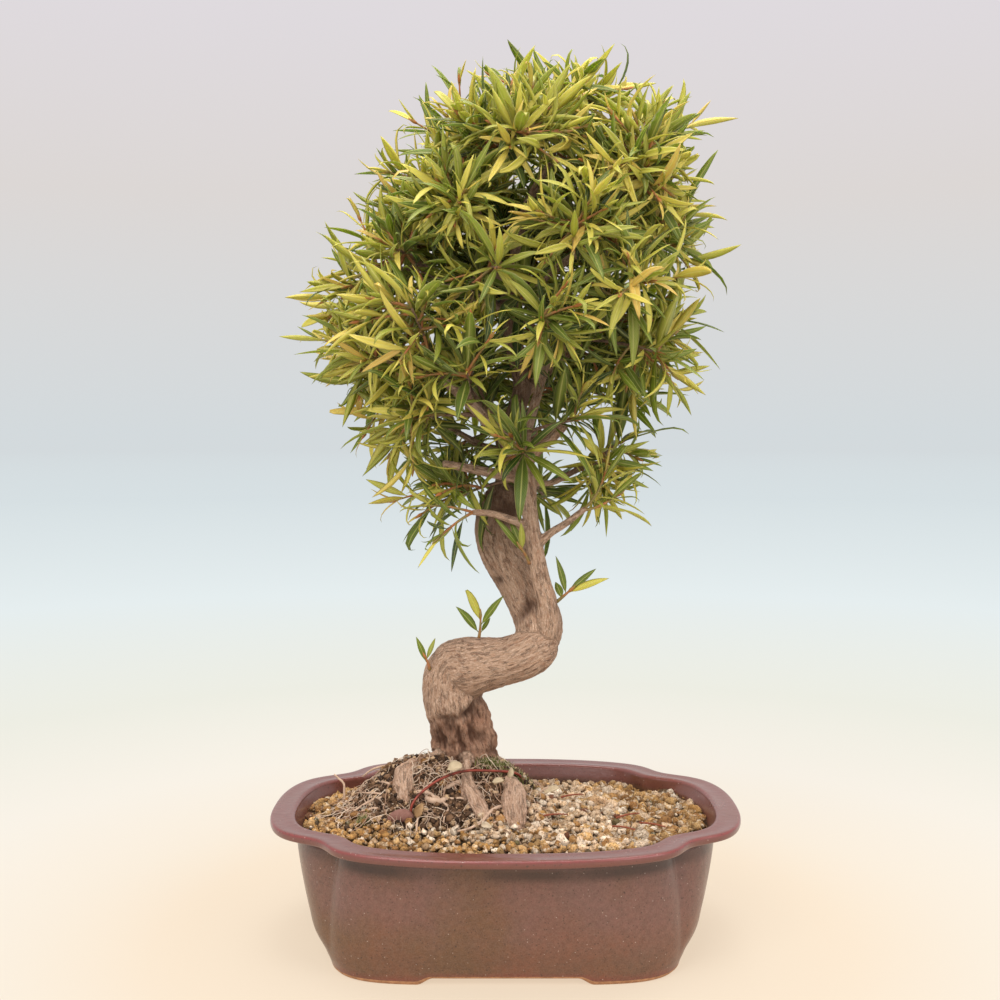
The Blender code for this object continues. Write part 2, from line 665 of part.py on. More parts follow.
def grow_crown(wood_rows):
    """A branch from the nearest wood towards each target, and the twig that goes on from it.

    Nearness counts the way back along the wood too, so branches fork outwards.
    A twig that would touch other wood is moved a little, and left out where that fails.
    """
    draw = np.random.default_rng(SEED + 1)
    points = np.vstack([rows[:, :3] for rows in wood_rows])
    costs = np.concatenate([np.linspace(0, 1, len(rows)) * STEM_COST for rows in wood_rows])
    wood = np.vstack([densely(rows) for rows in wood_rows])
    twigs = np.zeros((0, 4))
    targets = spray_targets()
    order = sorted(range(len(targets)), key=lambda k: np.linalg.norm(points - targets[k], axis=1).min())
    grown = {}
    for index in order:
        outward = targets[index] - np.array(CROWN_CENTRE)
        outward /= np.linalg.norm(outward)
        for attempt in range(TARGET_TRIES):
            target = targets[index] + draw.uniform(-0.5, 0.5, 3) * attempt
            gap = points - target
            distance = np.linalg.norm(gap, axis=1)
            above = np.where(gap[:, 2] > ABOVE_MARGIN, ABOVE_COST * gap[:, 2], 0.0)
            near = np.where(distance < TWIG_LENGTH * NEAR_SHARE, NEAR_COST, 0.0)
            foot = int(np.argmin(distance + above + near + costs * PATH_COST))
            branch, twig = branch_to(target, points[foot], outward)
            twig_bar = densely(twig)
            branch_bar = densely(branch)
            spare = min(spare_between(twig_bar, np.vstack([wood, twigs])), spare_between(branch_bar, twigs))
            if spare > CLEARANCE:
                grown[index] = (branch, twig)
                wood = np.vstack([wood, branch_bar])
                twigs = np.vstack([twigs, twig_bar])
                forks = branch_bar[FORK_EVERY - 1::FORK_EVERY, :3]
                away = np.linalg.norm(forks - branch[0, :3], axis=1)
                points = np.vstack([points, forks])
                costs = np.concatenate([costs, costs[foot] + away])
                break
    return [grown[index] for index in sorted(grown)]


def leaf_shape(foot, along, up, length, width, droop, spare=0.0):
    """A lance-shaped blade with a keel for its midrib, as points and faces.

    Its sections are triangles of margin, margin and keel, and its middle
    line bends away from up by droop times the square of the way along.
    """
    across = np.cross(along, up)
    across /= np.linalg.norm(across)
    lift = np.cross(across, along)
    points = []
    for share, spread in LEAF_SECTIONS:
        middle = foot + length * (share * along - droop * share ** 2 * lift)
        half = spread * width / 2 + spare
        keel = (0.45 + 0.55 * spread) * LEAF_THICK
        points += [
            middle + half * across + (0.4 * keel + spare) * lift,
            middle - half * across + (0.4 * keel + spare) * lift,
            middle - (0.6 * keel + spare) * lift,
        ]
    points.append(foot + length * (along - droop * lift))
    faces = loft_faces(3, 3, first_cap=True, last_cap=False)
    faces += [(6 + corner, 6 + (corner + 1) % 3, 9) for corner in range(3)]
    return points, faces


def tree_of(points, faces):
    """A search tree over faces, in millimetres."""
    return BVHTree.FromPolygons([Vector(point) for point in points], faces)


def object_tree(item):
    """A search tree over an object, in millimetres."""
    points = [vertex.co / MM for vertex in item.data.vertices]
    return BVHTree.FromPolygons(points, [tuple(face.vertices) for face in item.data.polygons])


class Room:
    """What already stands in the crown, as search trees with their boxes."""

    def __init__(self):
        self.trees = []

    def add(self, points, tree, owner):
        """Notes one body."""
        points = np.asarray(points)
        self.trees.append((points.min(axis=0), points.max(axis=0), tree, owner))

    def free(self, points, tree, owner):
        """True if a body crosses nothing but what belongs to its owner."""
        points = np.asarray(points)
        low, high = points.min(axis=0), points.max(axis=0)
        for other_low, other_high, other, other_owner in self.trees:
            if other_owner == owner:
                continue
            if np.any(low > other_high) or np.any(high < other_low):
                continue
            if tree.overlap(other):
                return False
        return True


def leaf_places(twig, count):
    """Where leaves stand on a twig: its point, the twig's direction there and the turn round it."""
    steps = np.linalg.norm(np.diff(twig, axis=0), axis=1)
    along = np.concatenate([[0], np.cumsum(steps)])
    places = []
    for number in range(count):
        share = FIRST_LEAF + LEAF_RUN * number / (count - 1)
        here = np.array([np.interp(share * along[-1], along, twig[:, axis]) for axis in range(3)])
        ahead = np.array([np.interp((share + 0.05) * along[-1], along, twig[:, axis]) for axis in range(3)])
        if share > 0.95:
            here = twig[-1] - 0.6 * (twig[-1] - twig[-2]) / steps[-1]
            ahead = twig[-1]
        direction = (ahead - here) / max(np.linalg.norm(ahead - here), 1e-9)
        places.append((here, direction, share, number * GOLDEN_ANGLE))
    return places


def place_leaf(room, owner, own, here, direction, share, turn, lengths, draw):
    """Tries turns and tilts until a leaf stands clear of everything; returns its shape or None."""
    side = np.cross(direction, (0.0, 0.0, 1.0))
    if np.linalg.norm(side) < 0.2:
        side = np.cross(direction, (1.0, 0.0, 0.0))
    side /= np.linalg.norm(side)
    upper = np.cross(side, direction)
    for attempt in range(LEAF_TRIES):
        swing = turn + (attempt % TURNS_TRIED) * TURN_STEP * (1 if attempt % 2 else -1)
        tilt = math.radians(np.interp(share, *LEAF_TILT) - TILT_STEP * (attempt // TURNS_TRIED))
        radial = math.cos(swing) * side + math.sin(swing) * upper
        along = math.cos(tilt) * direction + math.sin(tilt) * radial
        along = along + np.array((0, 0, 0.12))
        along /= np.linalg.norm(along)
        up = direction * math.sin(tilt) - radial * math.cos(tilt) + np.array((0, 0, 0.6))
        length = draw.uniform(*lengths) * (1.0 if attempt < SHORTER_FROM else SHORTER_SHARE)
        width = np.interp(length, (SMALLEST_LEAF, LEAF_LENGTH[1]), LEAF_WIDTH) * draw.uniform(0.9, 1.1)
        droop = draw.uniform(0.02, 0.16)
        points, faces = leaf_shape(here, along, up, length, width, droop)
        wide, _ = leaf_shape(here, along, up, length + CLEARANCE, width, droop, CLEARANCE)
        high = max(point[2] for point in points)
        side_reach = max(abs(point[0]) for point in points)
        depth_reach = max(abs(point[1]) for point in points)
        if depth_reach > RIM_HALF_Y - 1 or side_reach > RIM_HALF_X - 1 or high > CROWN_OUTLINE[-1][0] + 2:
            continue
        tree = tree_of(wide, faces)
        if not room.free(wide, tree, owner):
            continue
        if any(tree.overlap(other) for other in own):
            continue
        own.append(tree)
        return points, faces
    return None


def join_spray(name, twig_rows, leaves, group):
    """A twig and its leaves as one body."""
    spray = tube(name, twig_rows, 4, group)
    blades = new_collection(name + "_blades")
    for number, (points, faces) in enumerate(leaves):
        blade = mesh_object(f"{name}_blade_{number}", points, faces, blades)
        recalculate(blade)
    boolean(spray, "UNION", group=blades)
    empty_collection(blades)
    keep_largest(spray)
    spray.data.materials.append(finish("leaf"))
    return spray


def build_trunk(group, branches):
    """Trunk, roots, limbs and branches, grown together in one body."""
    trunk = tube("trunk", smooth_path(LOWER_TRUNK, 12.0), 12, group)
    pieces = new_collection("trunk_pieces")
    tube("swing", smooth_path(SWING, 9.0), 12, pieces)
    tube("rise", smooth_path(RISE, 11.0), 12, pieces)
    tube("leader", smooth_path(LEADER, 14.0), 8, pieces)
    tube("front_stem", smooth_path(FRONT_STEM, 14.0), 8, pieces)
    for name, rows in LIMBS.items():
        tube("limb_" + name, smooth_path(rows, 24.0), 6, pieces)
    for name, rows in ROOTS.items():
        tube("root_" + name, smooth_path(rows, 12.0), 6, pieces)
    for number, branch in enumerate(branches):
        tube(f"branch_{number:02d}", branch, 4, pieces)
    boolean(trunk, "UNION", group=pieces)
    empty_collection(pieces)
    keep_largest(trunk)
    trunk.data.materials.append(finish("bark"))
    return trunk


def wire_rows():
    """The tie wire's route with its radius."""
    return smooth_path([(*point, WIRE_RADIUS) for point in WIRE_ROUTE], 8.0)


def root_cutters():
    """The buried trunk and roots, wider by the gap, to cut their bed in the soil."""
    work = bpy.context.scene.collection
    cutters = []
    rows = smooth_path(LOWER_TRUNK, 12.0)
    rows[0, 2] -= GAP
    cutters.append(tube("bed_trunk", rows, 12, work, GAP))
    for name, root in ROOTS.items():
        rows = smooth_path(root, 12.0)
        step = rows[-1, :3] - rows[-2, :3]
        rows[-1, :3] += step / np.linalg.norm(step) * GAP
        cutters.append(tube("bed_" + name, rows, 6, work, GAP))
    wire = wire_rows()
    for end, other in ((0, 1), (-1, -2)):
        step = wire[end, :3] - wire[other, :3]
        wire[end, :3] += step / np.linalg.norm(step) * GAP
    cutters.append(tube("bed_wire", wire, 6, work, GAP))
    return cutters


def build_sprays(group, room, bark, twig_rows):
    """Leafy sprays at the end of every branch, then the sprouts on the trunk."""
    draw = np.random.default_rng(SEED)
    names = [f"spray_{number:02d}" for number in range(1, len(twig_rows) + 1)]
    work = bpy.context.scene.collection
    for name, rows in zip(names, twig_rows):
        probe = tube("probe", rows, 4, work, CLEARANCE)
        room.add([vertex.co / MM for vertex in probe.data.vertices], object_tree(probe), name)
        bpy.data.objects.remove(probe)
    for name, rows in zip(names, twig_rows):
        leaves = []
        own = []
        for place in leaf_places(rows[:, :3], LEAVES_PER_SPRAY):
            leaf = place_leaf(room, name, own, *place, LEAF_LENGTH, draw)
            if leaf is not None:
                leaves.append(leaf)
        for points, faces in leaves:
            room.add(points, tree_of(points, faces), name)
        join_spray(name, rows, leaves, group)
    for name, (foot, direction, length, leaf_lengths) in SPROUTS.items():
        direction = np.array(direction) / np.linalg.norm(direction)
        hit, normal, *_ = bark.find_nearest(Vector(foot))
        seat = np.array(hit + GAP * normal)
        neck = np.array(hit + SPROUT_NECK * normal)
        stem = np.array([seat, neck, neck + 0.5 * length * direction, neck + length * direction])
        rows = np.column_stack([stem, SPROUT_RADII])
        leaves = []
        own = []
        for number, leaf_length in enumerate(leaf_lengths):
            share = 0.45 + 0.5 * number / (len(leaf_lengths) - 1)
            here = neck + share * length * direction
            place = (here, direction, share, number * GOLDEN_ANGLE)
            leaf = place_leaf(room, name, own, *place, (leaf_length, leaf_length), draw)
            if leaf is not None:
                leaves.append(leaf)
        join_spray(name, rows, leaves, group)


def main():
    """Builds the pot, screens, soil, plant and wire."""
    clear_scene()
    bonsai = new_collection("Willow leaf fig bonsai")
    cutters = new_collection("Cutters")
    build_pot(bonsai, cutters)
    build_screens(bonsai)
    stems = (LEADER, FRONT_STEM, RISE, SWING, *LIMBS.values())
    grown = grow_crown([smooth_path(rows, 12.0) for rows in stems])
    trunk = build_trunk(bonsai, [branch for branch, _ in grown])
    build_soil(bonsai, cutters, root_cutters())
    wire = tube("tie_wire", wire_rows(), 6, bonsai)
    wire.data.materials.append(finish("copper"))
    room = Room()
    bark = object_tree(trunk)
    room.add([vertex.co / MM for vertex in trunk.data.vertices], bark, "trunk")
    build_sprays(bonsai, room, bark, [twig for _, twig in grown])


main()
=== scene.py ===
# Willow leaf fig bonsai in its glazed mokko pot: the looks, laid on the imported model.
# Lengths in the tables are millimetres and become metres where a mesh is made.
# The camera, the lights and the floor are placed in metres.

import json
import math

import bmesh
import bpy
import numpy as np
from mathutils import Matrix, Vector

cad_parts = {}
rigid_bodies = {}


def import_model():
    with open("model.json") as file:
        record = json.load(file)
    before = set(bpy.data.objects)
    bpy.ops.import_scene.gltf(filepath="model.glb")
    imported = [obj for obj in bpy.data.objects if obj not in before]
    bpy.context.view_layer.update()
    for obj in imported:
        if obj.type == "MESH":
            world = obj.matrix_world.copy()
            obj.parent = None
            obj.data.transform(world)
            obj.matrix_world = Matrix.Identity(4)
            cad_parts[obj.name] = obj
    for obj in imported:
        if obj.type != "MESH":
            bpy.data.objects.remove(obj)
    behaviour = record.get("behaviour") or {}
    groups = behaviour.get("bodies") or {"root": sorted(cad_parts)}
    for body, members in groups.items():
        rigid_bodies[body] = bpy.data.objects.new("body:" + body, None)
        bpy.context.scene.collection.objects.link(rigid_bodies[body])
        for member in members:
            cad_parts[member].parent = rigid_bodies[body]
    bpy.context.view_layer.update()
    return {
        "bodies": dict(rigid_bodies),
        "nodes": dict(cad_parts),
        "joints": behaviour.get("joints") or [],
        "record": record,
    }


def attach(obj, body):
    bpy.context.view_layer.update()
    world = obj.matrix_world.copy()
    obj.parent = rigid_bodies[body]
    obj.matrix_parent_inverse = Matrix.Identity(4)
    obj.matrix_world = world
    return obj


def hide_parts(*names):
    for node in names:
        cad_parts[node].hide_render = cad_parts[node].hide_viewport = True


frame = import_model()
MM = 0.001

# Camera, floor and light: a level camera in front of the pot, a pale floor
# that fades into a pale sky without a line, and large soft lights, the
# strongest of them overhead.
CAMERA_PLACE = (0.0, -0.77, 0.2997)
CAMERA_LENS = 46.08
CAMERA_SHIFT = (-0.0055, -0.069)
FLOOR_HALF = 40.0
FLOOR_REACH = 20.0
FLOOR_PAINT = ((0.0, (0.19, 0.17, 0.14)), (0.2, (0.15, 0.15, 0.14)), (0.5, (0.0, 0.0, 0.0)))
FLOOR_GLOW = (
    (0.1, (0.7, 0.57, 0.43)), (0.118, (0.68, 0.6, 0.5)), (0.146, (0.675, 0.635, 0.572)),
    (0.194, (0.612, 0.622, 0.56)), (0.283, (0.664, 0.732, 0.75)), (0.495, (0.68, 0.745, 0.768)),
    (0.97, (0.655, 0.7, 0.722)),
)
SKY = (
    (0.0, (0.655, 0.7, 0.722)), (0.178, (0.716, 0.68, 0.665)), (0.306, (0.737, 0.701, 0.73)),
    (1.0, (0.85, 0.83, 0.83)),
)
SOFT_LIGHTS = {
    "key_light": ((-0.7, -1.4, 1.6), (0.0, 0.0, 0.2), 1.3, 24.0, (1.0, 0.96, 0.9)),
    "fill_light": ((1.3, -1.1, 1.0), (0.0, 0.0, 0.2), 1.2, 10.0, (1.0, 0.98, 0.95)),
    "top_light": ((0.1, 0.1, 1.8), (0.0, 0.0, 0.2), 1.2, 26.0, (1.0, 0.98, 0.94)),
}


def new_material(name, rough=0.5, shine=0.5):
    """A material, its node tree and its Principled shader, with the shader's roughness and shine set."""
    material = bpy.data.materials.new(name)
    material.use_nodes = True
    tree = material.node_tree
    shader = tree.nodes["Principled BSDF"]
    shader.inputs["Roughness"].default_value = rough
    shader.inputs["Specular IOR Level"].default_value = shine
    return material, tree, shader


def ramp(tree, value, stops):
    """A colour ramp fed by a value, through (place, colour) stops; returns its colour."""
    node = tree.nodes.new("ShaderNodeValToRGB")
    steps = node.color_ramp.elements
    while len(steps) < len(stops):
        steps.new(0.5)
    for step, (place, colour) in zip(steps, stops):
        step.position = place
        step.color = (*colour, 1.0)
    tree.links.new(value, node.inputs["Fac"])
    return node.outputs["Color"]


def math_node(tree, operation, first, second=None):
    """One operation on values, each a socket or a number."""
    node = tree.nodes.new("ShaderNodeMath")
    node.operation = operation
    for socket, value in enumerate((first, second)):
        if isinstance(value, bpy.types.NodeSocket):
            tree.links.new(value, node.inputs[socket])
        elif value is not None:
            node.inputs[socket].default_value = value
    return node.outputs[0]


def build_sky():
    """The sky's colour is a ramp over the height of the direction looked in."""
    world = bpy.data.worlds.new("pale_sky")
    world.use_nodes = True
    tree = world.node_tree
    place = tree.nodes.new("ShaderNodeTexCoord")
    split = tree.nodes.new("ShaderNodeSeparateXYZ")
    tree.links.new(place.outputs["Generated"], split.inputs["Vector"])
    tree.links.new(ramp(tree, split.outputs["Z"], SKY), tree.nodes["Background"].inputs["Color"])
    bpy.context.scene.world = world


def build_floor():
    """A flat floor: painted near the pot, where it takes shadows, and glowing like the sky far away.

    Both are ramps over the square root of the distance from the pot as a share of the floor's reach.
    """
    corners = [(-FLOOR_HALF, -FLOOR_HALF, 0), (FLOOR_HALF, -FLOOR_HALF, 0),
               (FLOOR_HALF, FLOOR_HALF, 0), (-FLOOR_HALF, FLOOR_HALF, 0)]
    mesh = bpy.data.meshes.new("floor")
    mesh.from_pydata(corners, [], [(0, 1, 2, 3)])
    floor = bpy.data.objects.new("floor", mesh)
    bpy.context.scene.collection.objects.link(floor)
    material, tree, shader = new_material("pale_floor", 1.0, 0.0)
    place = tree.nodes.new("ShaderNodeTexCoord")
    reach = tree.nodes.new("ShaderNodeVectorMath")
    reach.operation = "LENGTH"
    tree.links.new(place.outputs["Object"], reach.inputs[0])
    root = math_node(tree, "SQRT", math_node(tree, "DIVIDE", reach.outputs["Value"], FLOOR_REACH))
    tree.links.new(ramp(tree, root, FLOOR_PAINT), shader.inputs["Base Color"])
    tree.links.new(ramp(tree, root, FLOOR_GLOW), shader.inputs["Emission Color"])
    shader.inputs["Emission Strength"].default_value = 1.0
    material.cycles.emission_sampling = "NONE"
    mesh.materials.append(material)


def build_lights():
    """Square soft lights, each turned to the point that it lights."""
    for name, (place, target, size, watts, colour) in SOFT_LIGHTS.items():
        lamp = bpy.data.lights.new(name, "AREA")
        lamp.shape = "SQUARE"
        lamp.size = size
        lamp.energy = watts
        lamp.color = colour
        light = bpy.data.objects.new(name, lamp)
        light.location = place
        aim = Vector(target) - Vector(place)
        light.rotation_euler = aim.to_track_quat("-Z", "Y").to_euler()
        bpy.context.scene.collection.objects.link(light)


def build_camera():
    """The camera looks level along +Y, and its shift brings the pot into the picture."""
    lens = bpy.data.cameras.new("camera")
    lens.lens = CAMERA_LENS
    lens.sensor_width = 36.0
    lens.shift_x, lens.shift_y = CAMERA_SHIFT
    lens.clip_end = 200.0
    camera = bpy.data.objects.new("camera", lens)
    camera.location = CAMERA_PLACE
    camera.rotation_euler = (math.radians(90.0), 0.0, 0.0)
    bpy.context.scene.collection.objects.link(camera)
    bpy.context.scene.camera = camera


build_camera()
build_sky()
build_floor()
build_lights()
bpy.context.scene.view_settings.view_transform = "Standard"

# Pot: slip-cast stoneware with four lobes, a broad flat rim and corner feet.
# It is dipped in one brown-mauve satin glaze, which breaks red where it runs
# thin over edges, and the feet are wiped bare.
RIM_HALF = (138.5, 105.0)
POT_HEIGHT = 76.0
RIM_WIDTH = 14.5
RIM_THICK = 4.6
RIM_ROUND = 1.7
INNER_ROUND = 2.4
COVE = 3.2
BODY_HALF = (124.3, 92.0)
BASE_HALF = (102.5, 80.5)
WALL_HEIGHTS = (0.0, 4.0, 8.0, 11.0, 13.0, 15.5, 18.0, 29.0, 41.0, 58.0, 68.0)
WALL_SHARES = (-0.15, -0.09, -0.01, 0.07, 0.15, 0.25, 0.335, 0.52, 0.69, 0.89, 0.975)
RIM_SQUARENESS = 2.5
BASE_SQUARENESS = 5.2
RIM_FOLD = 0.07
WALL_FOLD = 0.062
BASE_FOLD = 0.004
FOLD_ANGLE = 34.0
RIM_FOLD_SHAPE = (8.0, 2.0)
WALL_FOLD_SHAPE = (6.0, 1.15)
FOOT_WIDTH = 12.0
FOOT_RAISE = 3.5
FOOT_ANGLE = 41.0
FOOT_SPREAD = 17.0
FOOT_RAMP = 5.0
FLOOR_TOP = 9.5
WALL_FOOT = 8.5
WALL_TOP = 3.5
INNER_TOP = 69.5
HOLE_RADIUS = 8.0
HOLE_X = 52.0
HOLE_SIDES = 48
POT_SIDES = 480
TURNS = np.arange(POT_SIDES) * 2 * math.pi / POT_SIDES
GLAZE_BROWN = (0.146, 0.068, 0.031)
GLAZE_MAUVE = (0.18, 0.084, 0.069)
GLAZE_RUST = (0.195, 0.068, 0.036)
GLAZE_RIM = (0.166, 0.047, 0.035)
GLAZE_RED = (0.23, 0.036, 0.036)
GLAZE_DARK = (0.05, 0.028, 0.02)
GLAZE_PALE = (0.34, 0.22, 0.16)
GLAZE_SPECK = (0.62, 0.5, 0.42)
BARE_CLAY = (0.48, 0.24, 0.12)
CLAY_BROWN = (0.32, 0.15, 0.07)


def put_mesh(name, points, faces, smooth=True):
    """Puts arrays of points, in millimetres, and of equal-sided faces into a mesh object."""
    mesh = bpy.data.meshes.new(name)
    groups = faces if isinstance(faces, list) else [faces]
    groups = [np.asarray(group, np.int32) for group in groups if len(group)]
    mesh.vertices.add(len(points))
    mesh.vertices.foreach_set("co", (np.asarray(points, np.float32) * MM).ravel())
    corners = np.concatenate([group.ravel() for group in groups])
    sizes = np.concatenate([np.full(len(group), group.shape[1]) for group in groups])
    mesh.loops.add(len(corners))
    mesh.loops.foreach_set("vertex_index", corners)
    mesh.polygons.add(len(sizes))
    mesh.polygons.foreach_set("loop_start", np.concatenate([[0], np.cumsum(sizes)[:-1]]).astype(np.int32))
    mesh.update(calc_edges=True)
    if smooth:
        mesh.shade_smooth()
    item = bpy.data.objects.new(name, mesh)
    bpy.context.scene.collection.objects.link(item)
    return item


def mark(item, name, values, kind="FLOAT"):
    """Stores a number, or a vector or colour, for every point of a piece."""
    layer = item.data.attributes.new(name, kind, "POINT")
    field = {"FLOAT": "value", "FLOAT_VECTOR": "vector", "FLOAT_COLOR": "color"}[kind]
    layer.data.foreach_set(field, np.asarray(values, np.float32).ravel())


def wrap_quads(rings, sides):
    """Quads between each ring of points and the next, closed round the turn."""
    row = np.arange(rings - 1)[:, None] * sides
    side = np.arange(sides)[None, :]
    ahead = (side + 1) % sides
    corners = [row + side, row + ahead, row + sides + ahead, row + sides + side]
    return np.stack(corners, axis=-1).reshape(-1, 4)


def end_fans(rings, sides):
    """Triangles that close a stack of rings, round the two points that follow its last ring."""
    side = np.arange(sides)
    ahead = (side + 1) % sides
    centre = rings * sides
    last = centre - sides
    return np.concatenate([
        np.stack([np.full(sides, centre), ahead, side], axis=1),
        np.stack([np.full(sides, centre + 1), last + side, last + ahead], axis=1),
    ])


def mokko_plan(half_x, half_y, squareness, fold, shape):
    """The plan: a superellipse, reach = (|cos/a|^n + |sin/b|^n)^(-1/n), drawn in at each corner fold.

    A fold is fold * exp(-(angle / width)^power), and its shape is its width and power.
    """
    half_x, half_y = np.atleast_1d(half_x)[:, None], np.atleast_1d(half_y)[:, None]
    squareness, fold = np.atleast_1d(squareness)[:, None], np.atleast_1d(fold)[:, None]
    reach = np.abs(np.cos(TURNS) / half_x) ** squareness + np.abs(np.sin(TURNS) / half_y) ** squareness
    reach = reach ** (-1 / squareness)
    corner = math.radians(FOLD_ANGLE)
    for place in (corner, math.pi - corner, math.pi + corner, -corner):
        away = (TURNS - place + math.pi) % (2 * math.pi) - math.pi
        reach = reach * (1 - fold * np.exp(-(np.abs(away) / math.radians(shape[0])) ** shape[1]))
    return np.stack([reach * np.cos(TURNS), reach * np.sin(TURNS)], axis=-1)


def wall_plan(heights, inset=0.0):
    """The body's plan at each height: its sizes, squareness and folds run from the base's to the rim's."""
    slopes = np.gradient(WALL_SHARES, WALL_HEIGHTS)
    place = np.clip(np.searchsorted(WALL_HEIGHTS, heights) - 1, 0, len(WALL_HEIGHTS) - 2)
    low, high = np.array(WALL_HEIGHTS)[place], np.array(WALL_HEIGHTS)[place + 1]
    step = high - low
    way = np.clip((heights - low) / step, 0, 1)
    start, end = np.array(WALL_SHARES)[place], np.array(WALL_SHARES)[place + 1]
    share = (
        start * (2 * way ** 3 - 3 * way ** 2 + 1) + end * (3 * way ** 2 - 2 * way ** 3)
        + slopes[place] * step * (way ** 3 - 2 * way ** 2 + way)
        + slopes[place + 1] * step * (way ** 3 - way ** 2)
    )
    blend = np.clip(share, 0, 1)
    return mokko_plan(
        BASE_HALF[0] + (BODY_HALF[0] - BASE_HALF[0]) * share - inset,
        BASE_HALF[1] + (BODY_HALF[1] - BASE_HALF[1]) * share - inset,
        BASE_SQUARENESS + (RIM_SQUARENESS - BASE_SQUARENESS) * blend,
        BASE_FOLD + (WALL_FOLD - BASE_FOLD) * blend,
        WALL_FOLD_SHAPE,
    )


def inside_plan(heights):
    """The inside's plan: the body's, drawn in by a wall that thins from its foot to its top."""
    share = np.clip((heights - FLOOR_TOP) / (INNER_TOP - FLOOR_TOP), 0, 1)
    return wall_plan(heights, WALL_FOOT + (WALL_TOP - WALL_FOOT) * share)


def rim_plan(inset):
    """The rim's plan, drawn in from its outer edge."""
    inset = np.asarray(inset, float)
    return mokko_plan(RIM_HALF[0] - inset, RIM_HALF[1] - inset, RIM_SQUARENESS, RIM_FOLD, RIM_FOLD_SHAPE)


def foot_lift():
    """How far the base's edge is raised at each turn: nothing at the four corner feet."""
    turn = np.degrees(TURNS)
    away = np.abs(np.abs((turn + 90) % 180 - 90) - FOOT_ANGLE)
    way = np.clip((away - FOOT_SPREAD) / FOOT_RAMP, 0, 1)
    return FOOT_RAISE * way * way * (3 - 2 * way)


def pot_rings():
    """Rings of the pot from under its base, up the wall, round the rim and down inside.

    Each ring is a plan with a height. The rim's outer edge is a flattened half
    circle; its inner edge and the cove under it are quarter circles. The second
    result tells thin glaze (1) from full glaze (0) and bare clay (-1).
    """
    rings, marks = [], []

    def add(plans, heights, thin):
        plans = np.asarray(plans)
        heights = np.broadcast_to(np.atleast_2d(np.asarray(heights, float).T).T, plans.shape[:2])
        rings.append(np.concatenate([plans, heights[..., None]], axis=-1))
        marks.append(np.broadcast_to(np.asarray(thin, float).reshape(-1, 1), plans.shape[:2]))

    lift = foot_lift()
    base = wall_plan(np.array([0.0]))[0]
    for inset in (0.9, 0.55, 0.16):
        add(base[None] * (1 - inset), np.full((1, POT_SIDES), FOOT_RAISE), -1)
    for inset in (FOOT_WIDTH, FOOT_WIDTH - 0.7, 1.2, 0.4):
        sunk = FOOT_RAISE if inset == FOOT_WIDTH else lift + (0.5 if inset == 0.4 else 0.0)
        sunk = np.broadcast_to(sunk, (1, POT_SIDES)) if np.ndim(sunk) else np.full((1, POT_SIDES), sunk)
        add(wall_plan(np.array([0.0]), inset), sunk, -1)
    rise = np.concatenate([[1.3, 2.2, 2.5], np.linspace(4.0, INNER_TOP - 1.5, 32)])
    rising = rise[:, None] + lift[None, :] * np.clip(1 - rise / 10.0, 0, 1)[:, None]
    add(wall_plan(rise), rising, np.where(rise < 2.4, -1, 0.55 * np.clip(1.3 - rise / 6.0, 0, 1)))
    under = POT_HEIGHT - RIM_THICK
    cove = np.linspace(0, math.pi / 2, 5)[1:]
    top_wall = RIM_HALF[0] - BODY_HALF[0]
    add(rim_plan(top_wall - COVE * (1 - np.cos(cove))), under - COVE + COVE * np.sin(cove), 0.1 * cove)
    flat = np.linspace(top_wall - COVE - 1.5, RIM_ROUND, 4)
    add(rim_plan(flat), np.full(len(flat), under), np.full(len(flat), 0.25))
    curl = np.linspace(-math.pi / 2, math.pi / 2, 13)
    lip_half = RIM_THICK / 2
    bulge = np.sign(np.sin(curl)) * np.abs(np.sin(curl)) ** 0.8
    add(rim_plan(RIM_ROUND * (1 - np.cos(curl) ** 0.8)), under + lip_half + lip_half * bulge,
        0.12 + 0.88 * np.exp(-((curl - 0.75) / 0.38) ** 2))
    top = np.linspace(RIM_ROUND + 1.0, RIM_WIDTH - INNER_ROUND, 8)
    dish = POT_HEIGHT - 0.35 * np.sin(np.linspace(0, math.pi, 8))
    add(rim_plan(top), dish, np.full(8, 0.1))
    fall = np.linspace(0, math.pi / 2, 7)[1:]
    add(rim_plan(RIM_WIDTH - INNER_ROUND + INNER_ROUND * np.sin(fall)),
        POT_HEIGHT - INNER_ROUND * (1 - np.cos(fall)), 0.45 * np.sin(2 * fall))
    for height in (70.0, 66.0, 60.0, 50.0, 40.0, 25.0, 12.0, FLOOR_TOP):
        add(inside_plan(np.array([height])), np.array([height]), 0.0)
    inner = inside_plan(np.array([FLOOR_TOP]))[0]
    for shrink in (0.9, 0.5, 0.15):
        add(inner[None] * shrink, np.array([FLOOR_TOP]), 0.0)
    return np.concatenate(rings), np.concatenate(marks)


